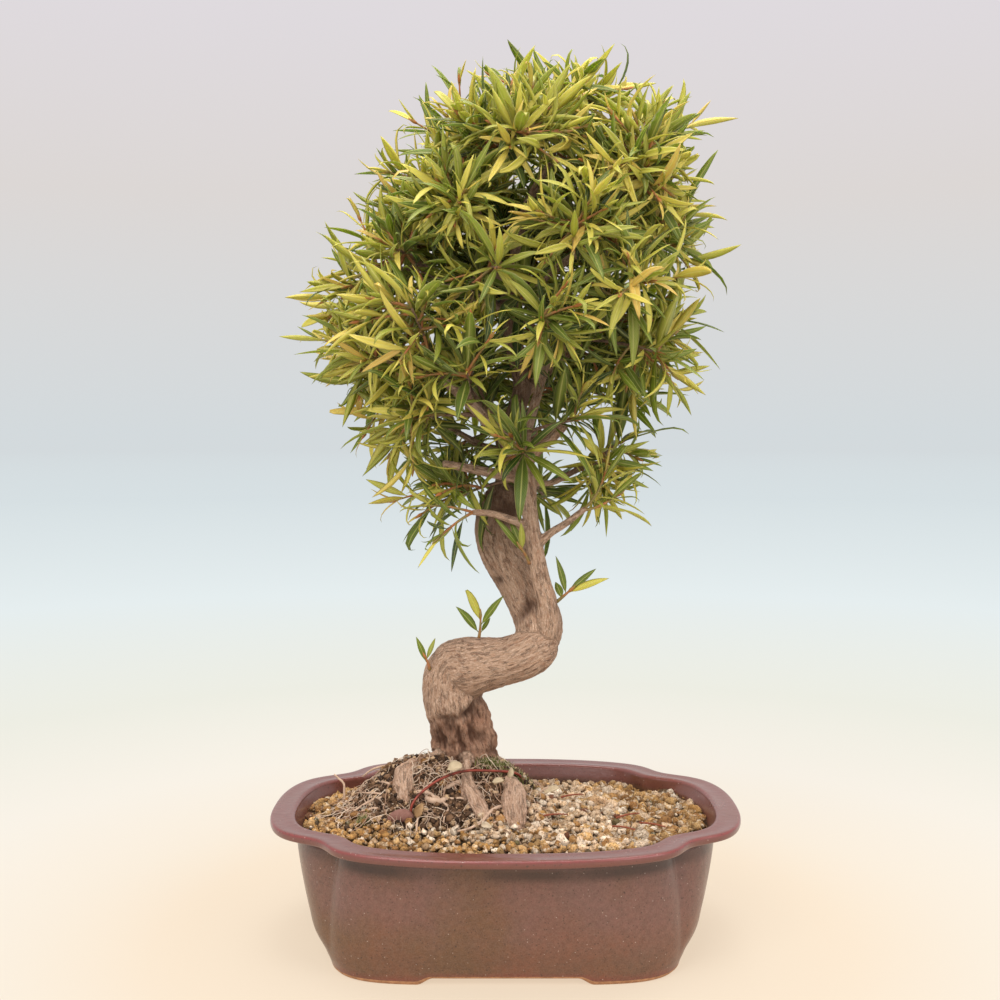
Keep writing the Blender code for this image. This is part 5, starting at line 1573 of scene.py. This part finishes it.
def solid_leaves(node, line, draw):
    """Finer leaves in the places of a packed spray's own: from its twig to each sharp tip of the solid."""
    mesh = frame["nodes"][node].data
    points = np.empty(len(mesh.vertices) * 3, np.float32)
    mesh.vertices.foreach_get("co", points)
    points = points.reshape(-1, 3) / MM
    tips, feet = [], []
    away = np.linalg.norm(points[:, None] - line[None], axis=2).min(axis=1)
    for _ in range(6):
        best = int(np.argmax(away))
        if away[best] < TIP_AWAY:
            break
        tip = points[best]
        reach = np.linalg.norm(line - tip, axis=1)
        tips.append(tip)
        feet.append(line[int(np.argmin(np.abs(reach - min(LEAF_TO_TIP, reach.max()))))])
        beam = tip - feet[-1]
        size = np.linalg.norm(beam)
        offset = points - feet[-1]
        along = np.clip(offset @ beam / size ** 2, 0, 1)
        taken = np.linalg.norm(offset - along[:, None] * beam, axis=1) < TIP_TAKEN
        away = np.where(taken, 0, away)
    tips, feet = np.array(tips), np.array(feet)
    count = len(tips)
    reach = np.linalg.norm(tips - feet, axis=1)
    length = np.minimum(reach, LONGEST_LEAF)
    return {
        "foot": feet, "along": tips - feet + (0, 0, 0.1) * reach[:, None],
        "upper": np.tile((0.05, 0.02, 1.0), (count, 1)), "length": length,
        "width": length * draw.uniform(0.15, 0.19, count),
        "arch": np.full(count, 0.28), "curl": draw.choice((0.0, 0.3, 0.9), count),
        "twist": draw.normal(0, 0.2, count), "fold": draw.uniform(0.15, 0.4, count),
        "young": np.zeros(count), "shade": draw.normal(0.0, 0.15, count),
    }


def leaf_colour(tone):
    """A leaf's colour from dark through green and yellow to gold as its tone rises."""
    stops = np.array((-0.05, 0.38, 0.9, 1.45))
    colours = np.array((LEAF_DARK, LEAF_GREEN, LEAF_YELLOW, LEAF_GOLD))
    return np.stack([np.interp(tone, stops, colours[:, band]) for band in range(3)], axis=1)


def leaf_tints(leaves, outer):
    """Each leaf's colour: dark inside the crown, green, then yellow outside, above and on young leaves. The
    dark inside and the yellow outside and above are partly painted shade and painted light.
    """
    height = (leaves["foot"][:, 2] - 240.0) / 290.0
    patch = 0.16 * lattice_noise(leaves["foot"] * 0.035, 91)
    aside = 0.4 * (np.hypot(leaves["foot"][:, 0] - CROWN_CENTRE[0], leaves["foot"][:, 1]) / 130.0 - 0.6)
    # Painted light and shade, partly the leaves' own colour: lighter outside the crown, towards its top and
    # away from its middle, darker inside, with random patches.
    light = 0.6 * outer + 0.2 * height + aside + patch - 0.03
    return leaf_colour(light + 0.38 * leaves["young"] + 1.25 * leaves["shade"])


def build_spray(name, node, shoots, leaves):
    """One spray: its twig and shoots as bars with buds, and all its leaves, in one piece."""
    parts = []
    youth = []
    for rows, young in shoots:
        bar = round_bar(rows, 6)
        parts.append(bar)
        youth.append(np.full(len(bar[0]), young))
        if young > 0.5:
            tip, way = rows[-1, :3], unit(rows[-1, :3] - rows[-2, :3])
            swell = np.array(((0.0, 0.6), (0.3, 1.0), (0.65, 0.7), (0.95, 0.2)))
            bud = np.column_stack([tip + way * swell[:, :1] * BUD_LENGTH, swell[:, 1] * BUD_RADIUS])
            parts.append(round_bar(bud, 6))
            youth.append(np.full(len(parts[-1][0]), 1.0))
    wood_points, wood_quads, wood_caps = join_parts(parts)
    blade_points, blade_quads, blade_triangles, place, each = leaf_blades(leaves)
    first = len(wood_points)
    item = put_mesh(name, np.vstack([wood_points, blade_points]), [
        wood_quads, blade_quads + first, wood_caps, blade_triangles + first,
    ])
    counts = [len(group) for group in (wood_quads, blade_quads, wood_caps, blade_triangles)]
    is_leaf = np.repeat((0, 1, 0, 1), counts).astype(np.int32)
    item.data.materials.append(twig_bark)
    item.data.materials.append(leaf_skin)
    item.data.polygons.foreach_set("material_index", is_leaf)
    mark(item, "young", np.concatenate([np.concatenate(youth), np.zeros(len(blade_points))]))
    mark(item, "blade", np.vstack([np.zeros((first, 3)), place]), "FLOAT_VECTOR")
    tints = np.repeat(leaves["tint"], each, axis=0)
    tints = np.column_stack([np.vstack([np.zeros((first, 3)), tints]), np.ones(first + len(tints))])
    mark(item, "tint", tints, "FLOAT_COLOR")
    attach(item, "root")
    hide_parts(node)


def leaf_material():
    """Each leaf's own colour with a pale midrib and margin, faint side veins, mottling and a waxy gloss."""
    material, tree, shader = new_material("fig_leaf", shine=0.4)
    split = tree.nodes.new("ShaderNodeSeparateXYZ")
    tree.links.new(attribute_node(tree, "blade", "Vector"), split.inputs["Vector"])
    across, along, under = split.outputs["X"], split.outputs["Y"], split.outputs["Z"]
    away = math_node(tree, "ABSOLUTE", across)
    tint = attribute_node(tree, "tint", "Color")
    mottle = span_node(tree, noise_node(tree, 260.0, 3.0), 0.3, 0.7)
    colour = blend_node(tree, times(tree, mottle, 0.3), tint, LEAF_MOTTLE, "MULTIPLY")
    vein_place = math_node(tree, "SUBTRACT", times(tree, along, 26.0), times(tree, away, 3.0))
    vein = math_node(tree, "PINGPONG", vein_place, 0.5)
    veins = span_node(tree, vein, 0.1, 0.0)
    colour = wash(tree, colour, MIDRIB_PALE, veins, 0.13)
    colour = wash(tree, colour, UNDER_PALE, under, 0.35)
    rib = span_node(tree, away, 0.16, 0.04)
    edge = span_node(tree, away, 0.84, 0.98)
    lines = math_node(tree, "MAXIMUM", times(tree, rib, 0.42), times(tree, edge, 0.45))
    colour = blend_node(tree, lines, colour, MIDRIB_PALE)
    tree.links.new(colour, shader.inputs["Base Color"])
    tree.links.new(span_node(tree, mottle, 0.0, 1.0, 0.42, 0.56), shader.inputs["Roughness"])
    shader.inputs["Subsurface Weight"].default_value = 0.15
    shader.inputs["Subsurface Radius"].default_value = (0.6, 1.0, 0.2)
    shader.inputs["Subsurface Scale"].default_value = 0.002
    relief = math_node(tree, "SUBTRACT", times(tree, veins, 0.4), times(tree, rib, 0.8))
    bump_node(tree, relief, 0.35, 0.0002, shader)
    return material


def merge_leaves(groups):
    """Several tables of leaves as one."""
    return {key: np.concatenate([group[key] for group in groups]) for key in groups[0]}


def shoot_ends(draw):
    """Where shoots end, and how far out each is: layers of the crown with lumps and gaps, and its tips.

    A layer is a count over all directions, a share of the way out, an inset
    and the lowest direction that it keeps. CROWN_TRIM gives a further inset
    by the angle round the crown's front. A lump moves an end in or out by
    smooth noise over its direction. An end is left out where noise over its
    place is low, and mostly in a hollow of the front and where the low crown is open.
    """
    ends, outer = [], []
    for count, share, inset, lowest in SHOOT_LAYERS:
        directions = even_directions(count, draw, SHOOT_SPREAD)
        directions = directions[directions[:, 2] > lowest]
        lump = lattice_noise(directions * 2.4 + 9.0, 93) * LUMP_DEPTH + draw.uniform(-9, 7, len(directions))
        turn = np.degrees(np.arctan2(directions[:, 2], directions[:, 0]))
        trim = np.interp(turn, *CROWN_TRIM) * np.hypot(directions[:, 2], directions[:, 0])
        reach = (np.array([crown_reach(way) for way in directions]) - inset - trim + lump) * share
        ends.append(CROWN_CENTRE + reach[:, None] * directions)
        outer.append(np.full(len(directions), share))
    tips = np.array(CROWN_TIPS, float)
    ends.append(tips - unit(tips - CROWN_CENTRE) * TIP_INSET)
    outer.append(np.ones(len(tips)))
    ends, outer = np.vstack(ends), np.concatenate(outer)
    dense = lattice_noise(ends * (0.03, 0.013, 0.03) + 3.0, 97) > GAP_LEVEL
    x, y, z = ends.T
    middle = np.exp(-(((x - 6.0) / 34.0) ** 4)) * np.clip((30.0 - y) / 40.0, 0.35, 1)
    open_share = middle * np.clip((322.0 - z) / 50.0, 0, 1)
    near = CAMERA_AWAY / (CAMERA_AWAY + y)
    hollow = np.zeros(len(ends), bool)
    for hollow_x, hollow_z, half_x, half_z in CROWN_HOLLOWS:
        across = (x * near - hollow_x) / half_x
        over = (CAMERA_LEVEL + (z - CAMERA_LEVEL) * near - hollow_z) / half_z
        hollow |= (across ** 2 + over ** 2 < 1) & (y < HOLLOW_BACK)
    keep = (dense | (z > NO_GAPS_ABOVE)) & (draw.random(len(ends)) > open_share * OPEN_LEFT_OUT)
    keep &= ~hollow | (draw.random(len(ends)) < HOLLOW_KEPT)
    keep[-len(tips):] = True
    return ends[keep], outer[keep]


def plant_shoots(grown, draw):
    """Shoots for every spray, each on an arc from the nearest twig, or from a limb's tip, to its end."""
    ends, outer = shoot_ends(draw)
    twig_ends = np.array([twig[-1, :3] for _, twig in grown])
    twig_roots = np.array([twig[1, :3] for _, twig in grown])
    away = np.minimum(
        np.linalg.norm(ends[:, None] - twig_ends[None], axis=2),
        np.linalg.norm(ends[:, None] - twig_roots[None], axis=2) * 1.15,
    )
    owner = np.argmin(away, axis=1)
    shoots = [[] for _ in grown]
    for end, share, number in zip(ends, outer, owner):
        line = densely(grown[number][1])[:, :3]
        gap = np.linalg.norm(line - end, axis=1)
        start = line[int(np.argmin(gap + np.where(gap < SHOOT_CLEAR, SHOOT_CLEAR_COST, 0.0)))]
        size = np.linalg.norm(end - start)
        outward = unit(end - CROWN_CENTRE)
        lean = start + 0.5 * (end - start) - outward * 0.1 * size + np.array((0, 0, 0.04 * size))
        shoots[number].append((bezier(start, lean, end, 7), share))
    for start, lean, end in np.array(LIMB_SHOOTS):
        owner = int(np.argmin(np.linalg.norm(twig_ends - end, axis=1)))
        shoots[owner].append((bezier(start, lean, end, 7), 0.9))
    return shoots


leaf_skin = leaf_material()
leaf_draw = np.random.default_rng(GROWTH_SEED + 2)
planted = plant_shoots(grown, leaf_draw)
for number, ((_, twig), shoots) in enumerate(zip(grown, planted), start=1):
    bars = [(smooth_path(twig, 5.0), 0.0)]
    tables = [solid_leaves(f"spray_{number:02d}", densely(twig)[:, :3], leaf_draw)]
    outer = [np.full(len(tables[0]["length"]), 0.75)]
    for line, share in [*shoots, (densely(twig)[-9:, :3], 0.9)]:
        bars.append((np.column_stack([line, np.linspace(*SHOOT_RADII, len(line))]), 0.85))
        tables.append(shoot_leaves(line, leaf_draw, 0.92 + 0.12 * share))
        outer.append(np.full(len(tables[-1]["length"]), share))
    leaves = merge_leaves(tables)
    depth = np.concatenate(outer)
    leaves["tint"] = leaf_tints(leaves, np.clip((depth - 0.5) * 2, 0, 1))
    build_spray(f"leafy_spray_{number:02d}", f"spray_{number:02d}", bars, leaves)

# Root mound: dark humus crumbs, pale root hairs that wander over them, moss at
# the trunk's foot, a few dry leaves and needles. All lie loose or grow there.
CRUMB_COUNT = 5200
CRUMB_TINTS = np.array((
    (0.04, 0.022, 0.013), (0.23, 0.13, 0.07), (0.62, 0.43, 0.26), (0.105, 0.058, 0.032),
))
HAIR_SPREADS = (
    (-38.0, -4.0, 52.0, 40.0, 90), (-70.0, -12.0, 24.0, 20.0, 190), (-26.0, -34.0, 28.0, 10.0, 44),
    (4.0, -18.0, 13.0, 12.0, 26), (-30.0, -6.0, 26.0, 16.0, 26),
)
HAIR_STEPS = 12
HAIR_PALE = (0.88, 0.72, 0.56)
HAIR_BROWN = (0.34, 0.185, 0.11)
STRAY_ROOTS = (
    ((-104, 8, 91, 0.5), (-101, 7, 88.5, 0.6), (-98, 6, 86, 0.7), (-97.5, 4, 80, 0.7), (-97, 2, 70, 0.8)),
    ((-80, -4, 90.4, 0.5), (-72, -15, 92.7, 0.7), (-66, -19, 92.1, 0.8), (-62, -19, 92.7, 1.0)),
    ((-88, -2, 83.7, 0.4), (-83, -14, 85.9, 0.5), (-78, -18, 87.1, 0.7), (-72, -21, 87.0, 0.8)),
    ((-90, -28, 75.5, 0.5), (-88, -24, 78.2, 0.6), (-81, -22, 82.3, 0.8),
     (-76, -22, 84.7, 0.9), (-72, -23, 85.6, 1.0)),
    ((-88, -26, 76.8, 0.5), (-82, -27, 79.4, 0.6), (-76, -28, 81.1, 0.8), (-73, -29, 80.9, 0.9)),
    ((-58, -24, 89.2, 0.9), (-60, -27, 86.7, 0.8), (-60, -30, 84.5, 0.7), (-59, -33, 81.6, 0.6)),
    ((-36, -24, 90.3, 1.0), (-32, -22, 92.5, 1.2), (-28, -20, 93.9, 1.4), (-25, -19, 93.8, 1.6)),
    ((-36, -27, 88.2, 0.5), (-31, -30, 87.2, 0.6), (-26, -29, 87.3, 0.7), (-22, -29, 85.8, 0.8)),
    ((-40, -28, 87.8, 0.8), (-37, -31, 86.3, 0.7), (-35, -33, 85.2, 0.6), (-33, -34, 83.5, 0.5)),
    ((-32, -34, 83.3, 0.7), (-34, -39, 81.5, 0.6), (-35, -42, 79.6, 0.5), (-35, -44, 78.1, 0.4)),
    ((-1, -27, 82.4, 1.3), (-7, -32, 81.5, 1.1), (-11, -38, 79.5, 1.0),
     (-14, -44, 77.5, 0.8), (-20, -50, 76.3, 0.7), (-27, -52, 75.1, 0.5)),
    ((18, -10, 82, 0.5), (20, -11, 85, 0.5), (23, -11, 87.5, 0.6), (25, -11, 88.5, 0.6)),
    ((-52, -25, 89.0, 1.5), (-48, -25, 89.8, 1.3), (-43, -27, 88.7, 1.1), (-39, -31, 85.4, 0.9)),
    ((-46, -29, 86.7, 1.9), (-42, -31, 86.3, 1.8), (-37, -31, 86.1, 1.7), (-34, -29, 86.8, 1.6)),
    ((4, -32, 78.4, 0.8), (-1, -37, 78.1, 0.7), (-5, -41, 77.4, 0.6), (-7, -42, 76.7, 0.5)),
    ((-50, -55, 74.3, 0.5), (-50, -50, 76.3, 0.6), (-50, -42, 78.8, 0.6), (-49, -37, 80.9, 0.7)),
    ((-86, 2, 91.3, 0.5), (-81, 1, 95.5, 0.6), (-75, 1, 97.5, 0.7), (-69, 2, 98.5, 0.8)),
)
KNOB = (
    (-67, -37, 76, 1.5), (-64, -38, 78.5, 3.2), (-59, -39, 80, 3.8), (-55, -38, 78.5, 3.0),
    (-54, -38, 72, 1.6),
)
MOSS_PATCHES = (
    ((1.0, -7.0), 9.0, 7.0, 420), ((-82.0, -34.0), 4.5, 3.5, 120), ((-11.0, -7.0), 6.0, 4.0, 120),
    ((11.0, -3.0), 8.0, 9.0, 200), ((-48.0, 2.0), 9.0, 6.0, 60),
)
MOSS_GREEN = ((0.09, 0.115, 0.028), (0.23, 0.24, 0.07), (0.46, 0.4, 0.22))
DRY_LEAVES = (
    ((-34, -27, 103), (0.85, -0.1, 0.45), 10.0, 6.5), ((-51, -40, 79), (0.3, -0.25, 0.95), 10.0, 6.0),
    ((2, -19, 96), (0.2, -0.3, 1.0), 7.0, 4.0), ((-8, -24, 95), (0.7, -0.4, 0.4), 8.0, 3.6),
    ((-14, -47, 77), (0.5, -0.5, 0.2), 8.0, 3.6), ((22, 20, 76), (0.7, 0.4, 0.15), 17.0, 4.2),
)
DRY_TINTS = ((0.62, 0.5, 0.33), (0.48, 0.3, 0.15), (0.7, 0.58, 0.42))
NEEDLES = (
    ((76, -44, 77.5), (90, -50, 77)), ((64, -30, 76), (78, -24, 77)), ((60, -52, 78), (72, -60, 78.5)),
    ((22, -34, 78.5), (36, -30, 78)), ((-90, -20, 77), (-101, -12, 76)), ((34, 12, 76), (48, 20, 75.5)),
)
NEEDLE_RED = (0.3, 0.085, 0.045)
STRAY_TAN = (0.66, 0.47, 0.34)
KNOB_RED = (0.3, 0.15, 0.12)
LITTER_MOTTLE = (0.55, 0.48, 0.42)


def soft_material(name, rough, bump):
    """A dull material of each piece's stored colour, mottled and finely bumped, for litter and roots."""
    material, tree, shader = new_material(name, rough, 0.25)
    mottle = span_node(tree, noise_node(tree, 420.0, 4.0), 0.3, 0.7)
    tint = attribute_node(tree, "tint", "Color")
    colour = blend_node(tree, times(tree, mottle, 0.5), tint, LITTER_MOTTLE, "MULTIPLY")
    tree.links.new(colour, shader.inputs["Base Color"])
    bump_node(tree, mottle, bump, 0.0005, shader)
    return material


def root_hairs(draw):
    """Fine roots as bars: each walks over the mound with a slowly turning heading and dips in at its end."""
    parts, tints = [], []
    dip = np.array((-1.5, *[0.3] * (HAIR_STEPS - 2), -1.5))
    spreads = np.repeat(np.array(HAIR_SPREADS)[:, :4], [row[4] for row in HAIR_SPREADS], axis=0)
    for middle_x, middle_y, half_x, half_y in spreads:
        turn = draw.uniform(0, 2 * math.pi)
        reach = math.sqrt(draw.uniform(0.05, 1.0))
        spot = np.array((
            middle_x + half_x * reach * math.cos(turn), middle_y + half_y * reach * math.sin(turn),
        ))
        heading = turn + draw.normal(0, 0.9)
        bends = heading + np.cumsum(draw.normal(0, 0.5, HAIR_STEPS))
        step = draw.uniform(0.9, 2.7)
        walk = spot + np.cumsum(np.stack([np.cos(bends), np.sin(bends)], axis=1) * step, axis=0)
        lift = draw.choice((0.5, 1.2, 2.4, 5.0), p=(0.35, 0.35, 0.22, 0.08))
        arch = np.sin(np.linspace(0, math.pi, HAIR_STEPS)) * lift
        size = draw.uniform(0.17, 0.42)
        level = soil_level(*walk.T) + arch + dip
        fit = inside_share(*walk.T, 2.0) < 1
        if not fit.all():
            continue
        rows = np.column_stack([walk, level, np.linspace(size, size * 0.5, HAIR_STEPS)])
        parts.append(round_bar(rows, 5))
        share = draw.random()
        tint = np.array(HAIR_PALE) * share + np.array(HAIR_BROWN) * (1 - share)
        tints.append(np.tile(tint, (len(parts[-1][0]), 1)))
    for rows in STRAY_ROOTS:
        parts.append(round_bar(smooth_path(rows, 2.5), 9))
        tints.append(np.tile(STRAY_TAN, (len(parts[-1][0]), 1)))
    parts.append(round_bar(smooth_path(KNOB, 1.5), 16))
    tints.append(np.tile(KNOB_RED, (len(parts[-1][0]), 1)))
    points, quads, caps = join_parts(parts)
    return points, [quads, caps], np.vstack(tints)


def moss(draw):
    """Moss: three-sided spikes that lean every way, in patches on the ground."""
    points, tints = [], []
    for (x, y), half_x, half_y, count in MOSS_PATCHES:
        spread = draw.normal(0, 0.5, (count, 2)) * (half_x, half_y) + (x, y)
        base = np.column_stack([spread, soil_level(*spread.T) - 0.5])
        lean = unit(np.column_stack([draw.normal(0, 0.5, (count, 2)), np.full(count, 1.0)]))
        tall = draw.uniform(1.8, 5.4, (count, 1))
        turn = draw.uniform(0, 2.1, (count, 1)) + np.arange(3)[None] * 2 * math.pi / 3
        foot = np.stack([np.cos(turn), np.sin(turn), np.zeros_like(turn)], axis=-1) * 0.42
        spikes = np.concatenate([base[:, None] + foot, (base + lean * tall)[:, None]], axis=1)
        points.append(spikes)
        greens = np.array(MOSS_GREEN)[draw.integers(0, 3, count)]
        tints.append(np.repeat(greens, 4, axis=0))
    points = np.concatenate(points)
    first = np.arange(len(points))[:, None, None] * 4
    faces = (np.array([(0, 1, 3), (1, 2, 3), (2, 0, 3), (0, 2, 1)])[None] + first).reshape(-1, 3)
    return points.reshape(-1, 3), faces, np.vstack(tints)


def dry_leaves(draw):
    """Fallen leaves: short broad blades, curled and dried tan."""
    count = len(DRY_LEAVES)
    foot, along, length, width = (np.array(column, float) for column in zip(*DRY_LEAVES))
    leaves = {
        "foot": foot, "along": along, "length": length, "width": width,
        "upper": draw.normal(0, 0.2, (count, 3)) + (0, -0.75, 0.65),
        "arch": draw.uniform(0.2, 1.0, count), "curl": draw.uniform(0.3, 1.4, count),
        "twist": draw.normal(0, 0.6, count), "fold": draw.uniform(0.3, 0.8, count),
    }
    points, quads, triangles, _, each = leaf_blades(leaves)
    tints = np.repeat(np.array(DRY_TINTS)[draw.integers(0, 3, count)], each, axis=0)
    return points, [quads, triangles], tints


litter = soft_material("dry_litter", 0.75, 0.5)
root_skin = soft_material("root_skin", 0.8, 0.6)
moss_skin = soft_material("moss", 0.9, 0.2)
turn = ground_draw.uniform(0, 2 * math.pi, CRUMB_COUNT)
reach = np.sqrt(ground_draw.uniform(0, 1.12, CRUMB_COUNT))
spots = np.stack([HUMUS_MIDDLE[0] + HUMUS_HALF[0] * reach * np.cos(turn),
                  HUMUS_MIDDLE[1] + HUMUS_HALF[1] * reach * np.sin(turn)], axis=1)
level = soil_level(*spots.T) + ground_relief(*spots.T, np.ones(CRUMB_COUNT))
crumbs = np.column_stack([spots, level + ground_draw.uniform(-0.3, 0.9, CRUMB_COUNT)])
points, faces, each = lumps(crumbs, 0.4 + 1.7 * ground_draw.random(CRUMB_COUNT) ** 4, 1, 0.6, ground_draw)
shades = CRUMB_TINTS[ground_draw.choice(4, CRUMB_COUNT, p=(0.26, 0.36, 0.16, 0.22))]
lay_loose("humus_crumbs", points, faces, np.repeat(shades, each, axis=0), litter, "grains")
lay_loose("root_hairs", *root_hairs(ground_draw), root_skin, "bark")
lay_loose("moss_tufts", *moss(ground_draw), moss_skin, "leaf")
lay_loose("dry_leaves", *dry_leaves(ground_draw), litter, "leaf")
needle_parts = []
for start, end in NEEDLES:
    middle = (np.array(start) + end) / 2 + (0, 0, 1.2)
    line = bezier(np.array(start, float), middle, np.array(end, float), 6)
    needle_parts.append(round_bar(np.column_stack([line, np.linspace(0.6, 0.35, 6)]), 6))
points, quads, caps = join_parts(needle_parts)
needle_tints = np.tile(NEEDLE_RED, (len(points), 1))
lay_loose("dry_needles", points, [quads, caps], needle_tints, litter, "bark")

# Tie wire: thin annealed copper laid over the roots, with both ends pushed
# into the soil. It has weathered to a dull red.
WIRE_ROUTE = (
    (-54.5, -37.5, 78), (-54, -36.5, 84), (-51, -34.5, 89), (-45, -31, 94), (-37.5, -28, 98),
    (-29, -23.5, 100.2), (-21, -20.5, 100.9), (-12, -18, 100.2), (-4, -15.5, 99.2), (3, -13, 98),
    (8, -10, 95.5), (11, -8, 90),
)
WIRE_RADIUS = 0.8
COPPER_RED = (0.3, 0.062, 0.04)
COPPER_DARK = (0.11, 0.03, 0.022)


def copper_material():
    """Dull red copper with darker tarnish and fine scratches."""
    material, tree, shader = new_material("dull_copper")
    tarnish = span_node(tree, noise_node(tree, 180.0, 4.0), 0.45, 0.68)
    tree.links.new(blend_node(tree, tarnish, COPPER_RED, COPPER_DARK), shader.inputs["Base Color"])
    tree.links.new(span_node(tree, tarnish, 0.0, 1.0, 0.32, 0.6), shader.inputs["Roughness"])
    shader.inputs["Metallic"].default_value = 0.55
    bump_node(tree, noise_node(tree, 700.0), 0.3, 0.0002, shader)
    return material


rows = smooth_path([(*place, WIRE_RADIUS) for place in WIRE_ROUTE], 1.5)
points, quads, caps = round_bar(rows, 14)
wire = put_mesh("copper_tie_wire", points, [quads, caps])
wire.data.materials.append(copper_material())
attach(wire, "root")
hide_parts("tie_wire")

# Sprouts: four short shoots straight out of the bare trunk, each with a few
# stiff young leaves. They grow from the bark itself.
# A sprout is its stem from foot to end, then leaves: foot, tip, width, curl and tone.
SPROUTS = {
    "elbow": ((-15.9, -4, 176.0), (-14.9, -6, 187.5), (
        ((-15.0, -6, 186.5), (-22.9, -10, 206.5), 5.2, 1.9, 0.72),
        ((-16.3, -5, 179.5), (-28.3, -12, 194.7), 5.4, 0.2, 0.26),
        ((-14.6, -6, 184.0), (-1.8, -13, 200.9), 4.8, 0.1, 0.36),
        ((-14.6, -3, 179.0), (-8.8, 6, 186.5), 3.0, 0.2, 0.3),
    )),
    "left": ((-45.5, -2, 156.5), (-47.6, -4, 163.5), (
        ((-47.5, -4, 161.5), (-52.7, -8, 176.3), 3.6, 0.2, 0.34),
        ((-47.4, -3, 162.5), (-42.1, 1, 174.8), 2.8, 0.1, 0.5),
    )),
    "right": ((30.0, -16, 199.0), (37.0, -20, 205.6), (
        ((35.5, -19, 204.0), (30.0, -24, 225.7), 4.6, 0.0, 0.22),
        ((33.0, -18, 201.5), (29.6, -13, 210.5), 5.0, 0.1, 0.28),
        ((36.5, -20, 205.0), (54.0, -14, 217.8), 4.0, 0.1, 0.24),
        ((37.0, -20, 205.0), (59.2, -27, 213.3), 5.0, 0.2, 0.82),
    )),
    "stem": ((14.0, -20, 222.0), (9.6, -26, 231.0), (
        ((10.0, -25, 229.0), (-6.1, -31, 249.4), 4.4, 0.1, 0.3),
        ((10.2, -25, 229.0), (2.6, -22, 247.7), 4.6, 0.2, 0.26),
        ((9.6, -26, 230.5), (9.4, -33, 245.6), 4.2, 0.2, 0.55),
    )),
}
for name, (foot, end, rows) in SPROUTS.items():
    foot, end = np.array(foot, float), np.array(end, float)
    line = bezier(foot, (foot + end) / 2 + (0.6, -0.6, 0.4), end, 9)
    starts = np.array([row[0] for row in rows], float)
    reach = np.array([row[1] for row in rows], float) - starts
    length = np.linalg.norm(reach, axis=1)
    count = len(rows)
    leaves = {
        "foot": starts, "along": reach + np.array((0, 0, 0.1)) * length[:, None],
        "upper": np.tile((0.1, -0.75, 0.65), (count, 1)), "length": length * 1.04,
        "width": np.array([row[2] for row in rows]), "arch": np.full(count, 0.22),
        "curl": np.array([row[3] for row in rows]), "twist": ground_draw.normal(0, 0.2, count),
        "fold": np.full(count, 0.28), "tint": leaf_colour(np.array([row[4] for row in rows])),
    }
    bars = [(np.column_stack([line, np.linspace(1.1, 0.65, 9)]), 0.75)]
    build_spray(f"trunk_sprout_{name}", f"sprout_{name}", bars, leaves)
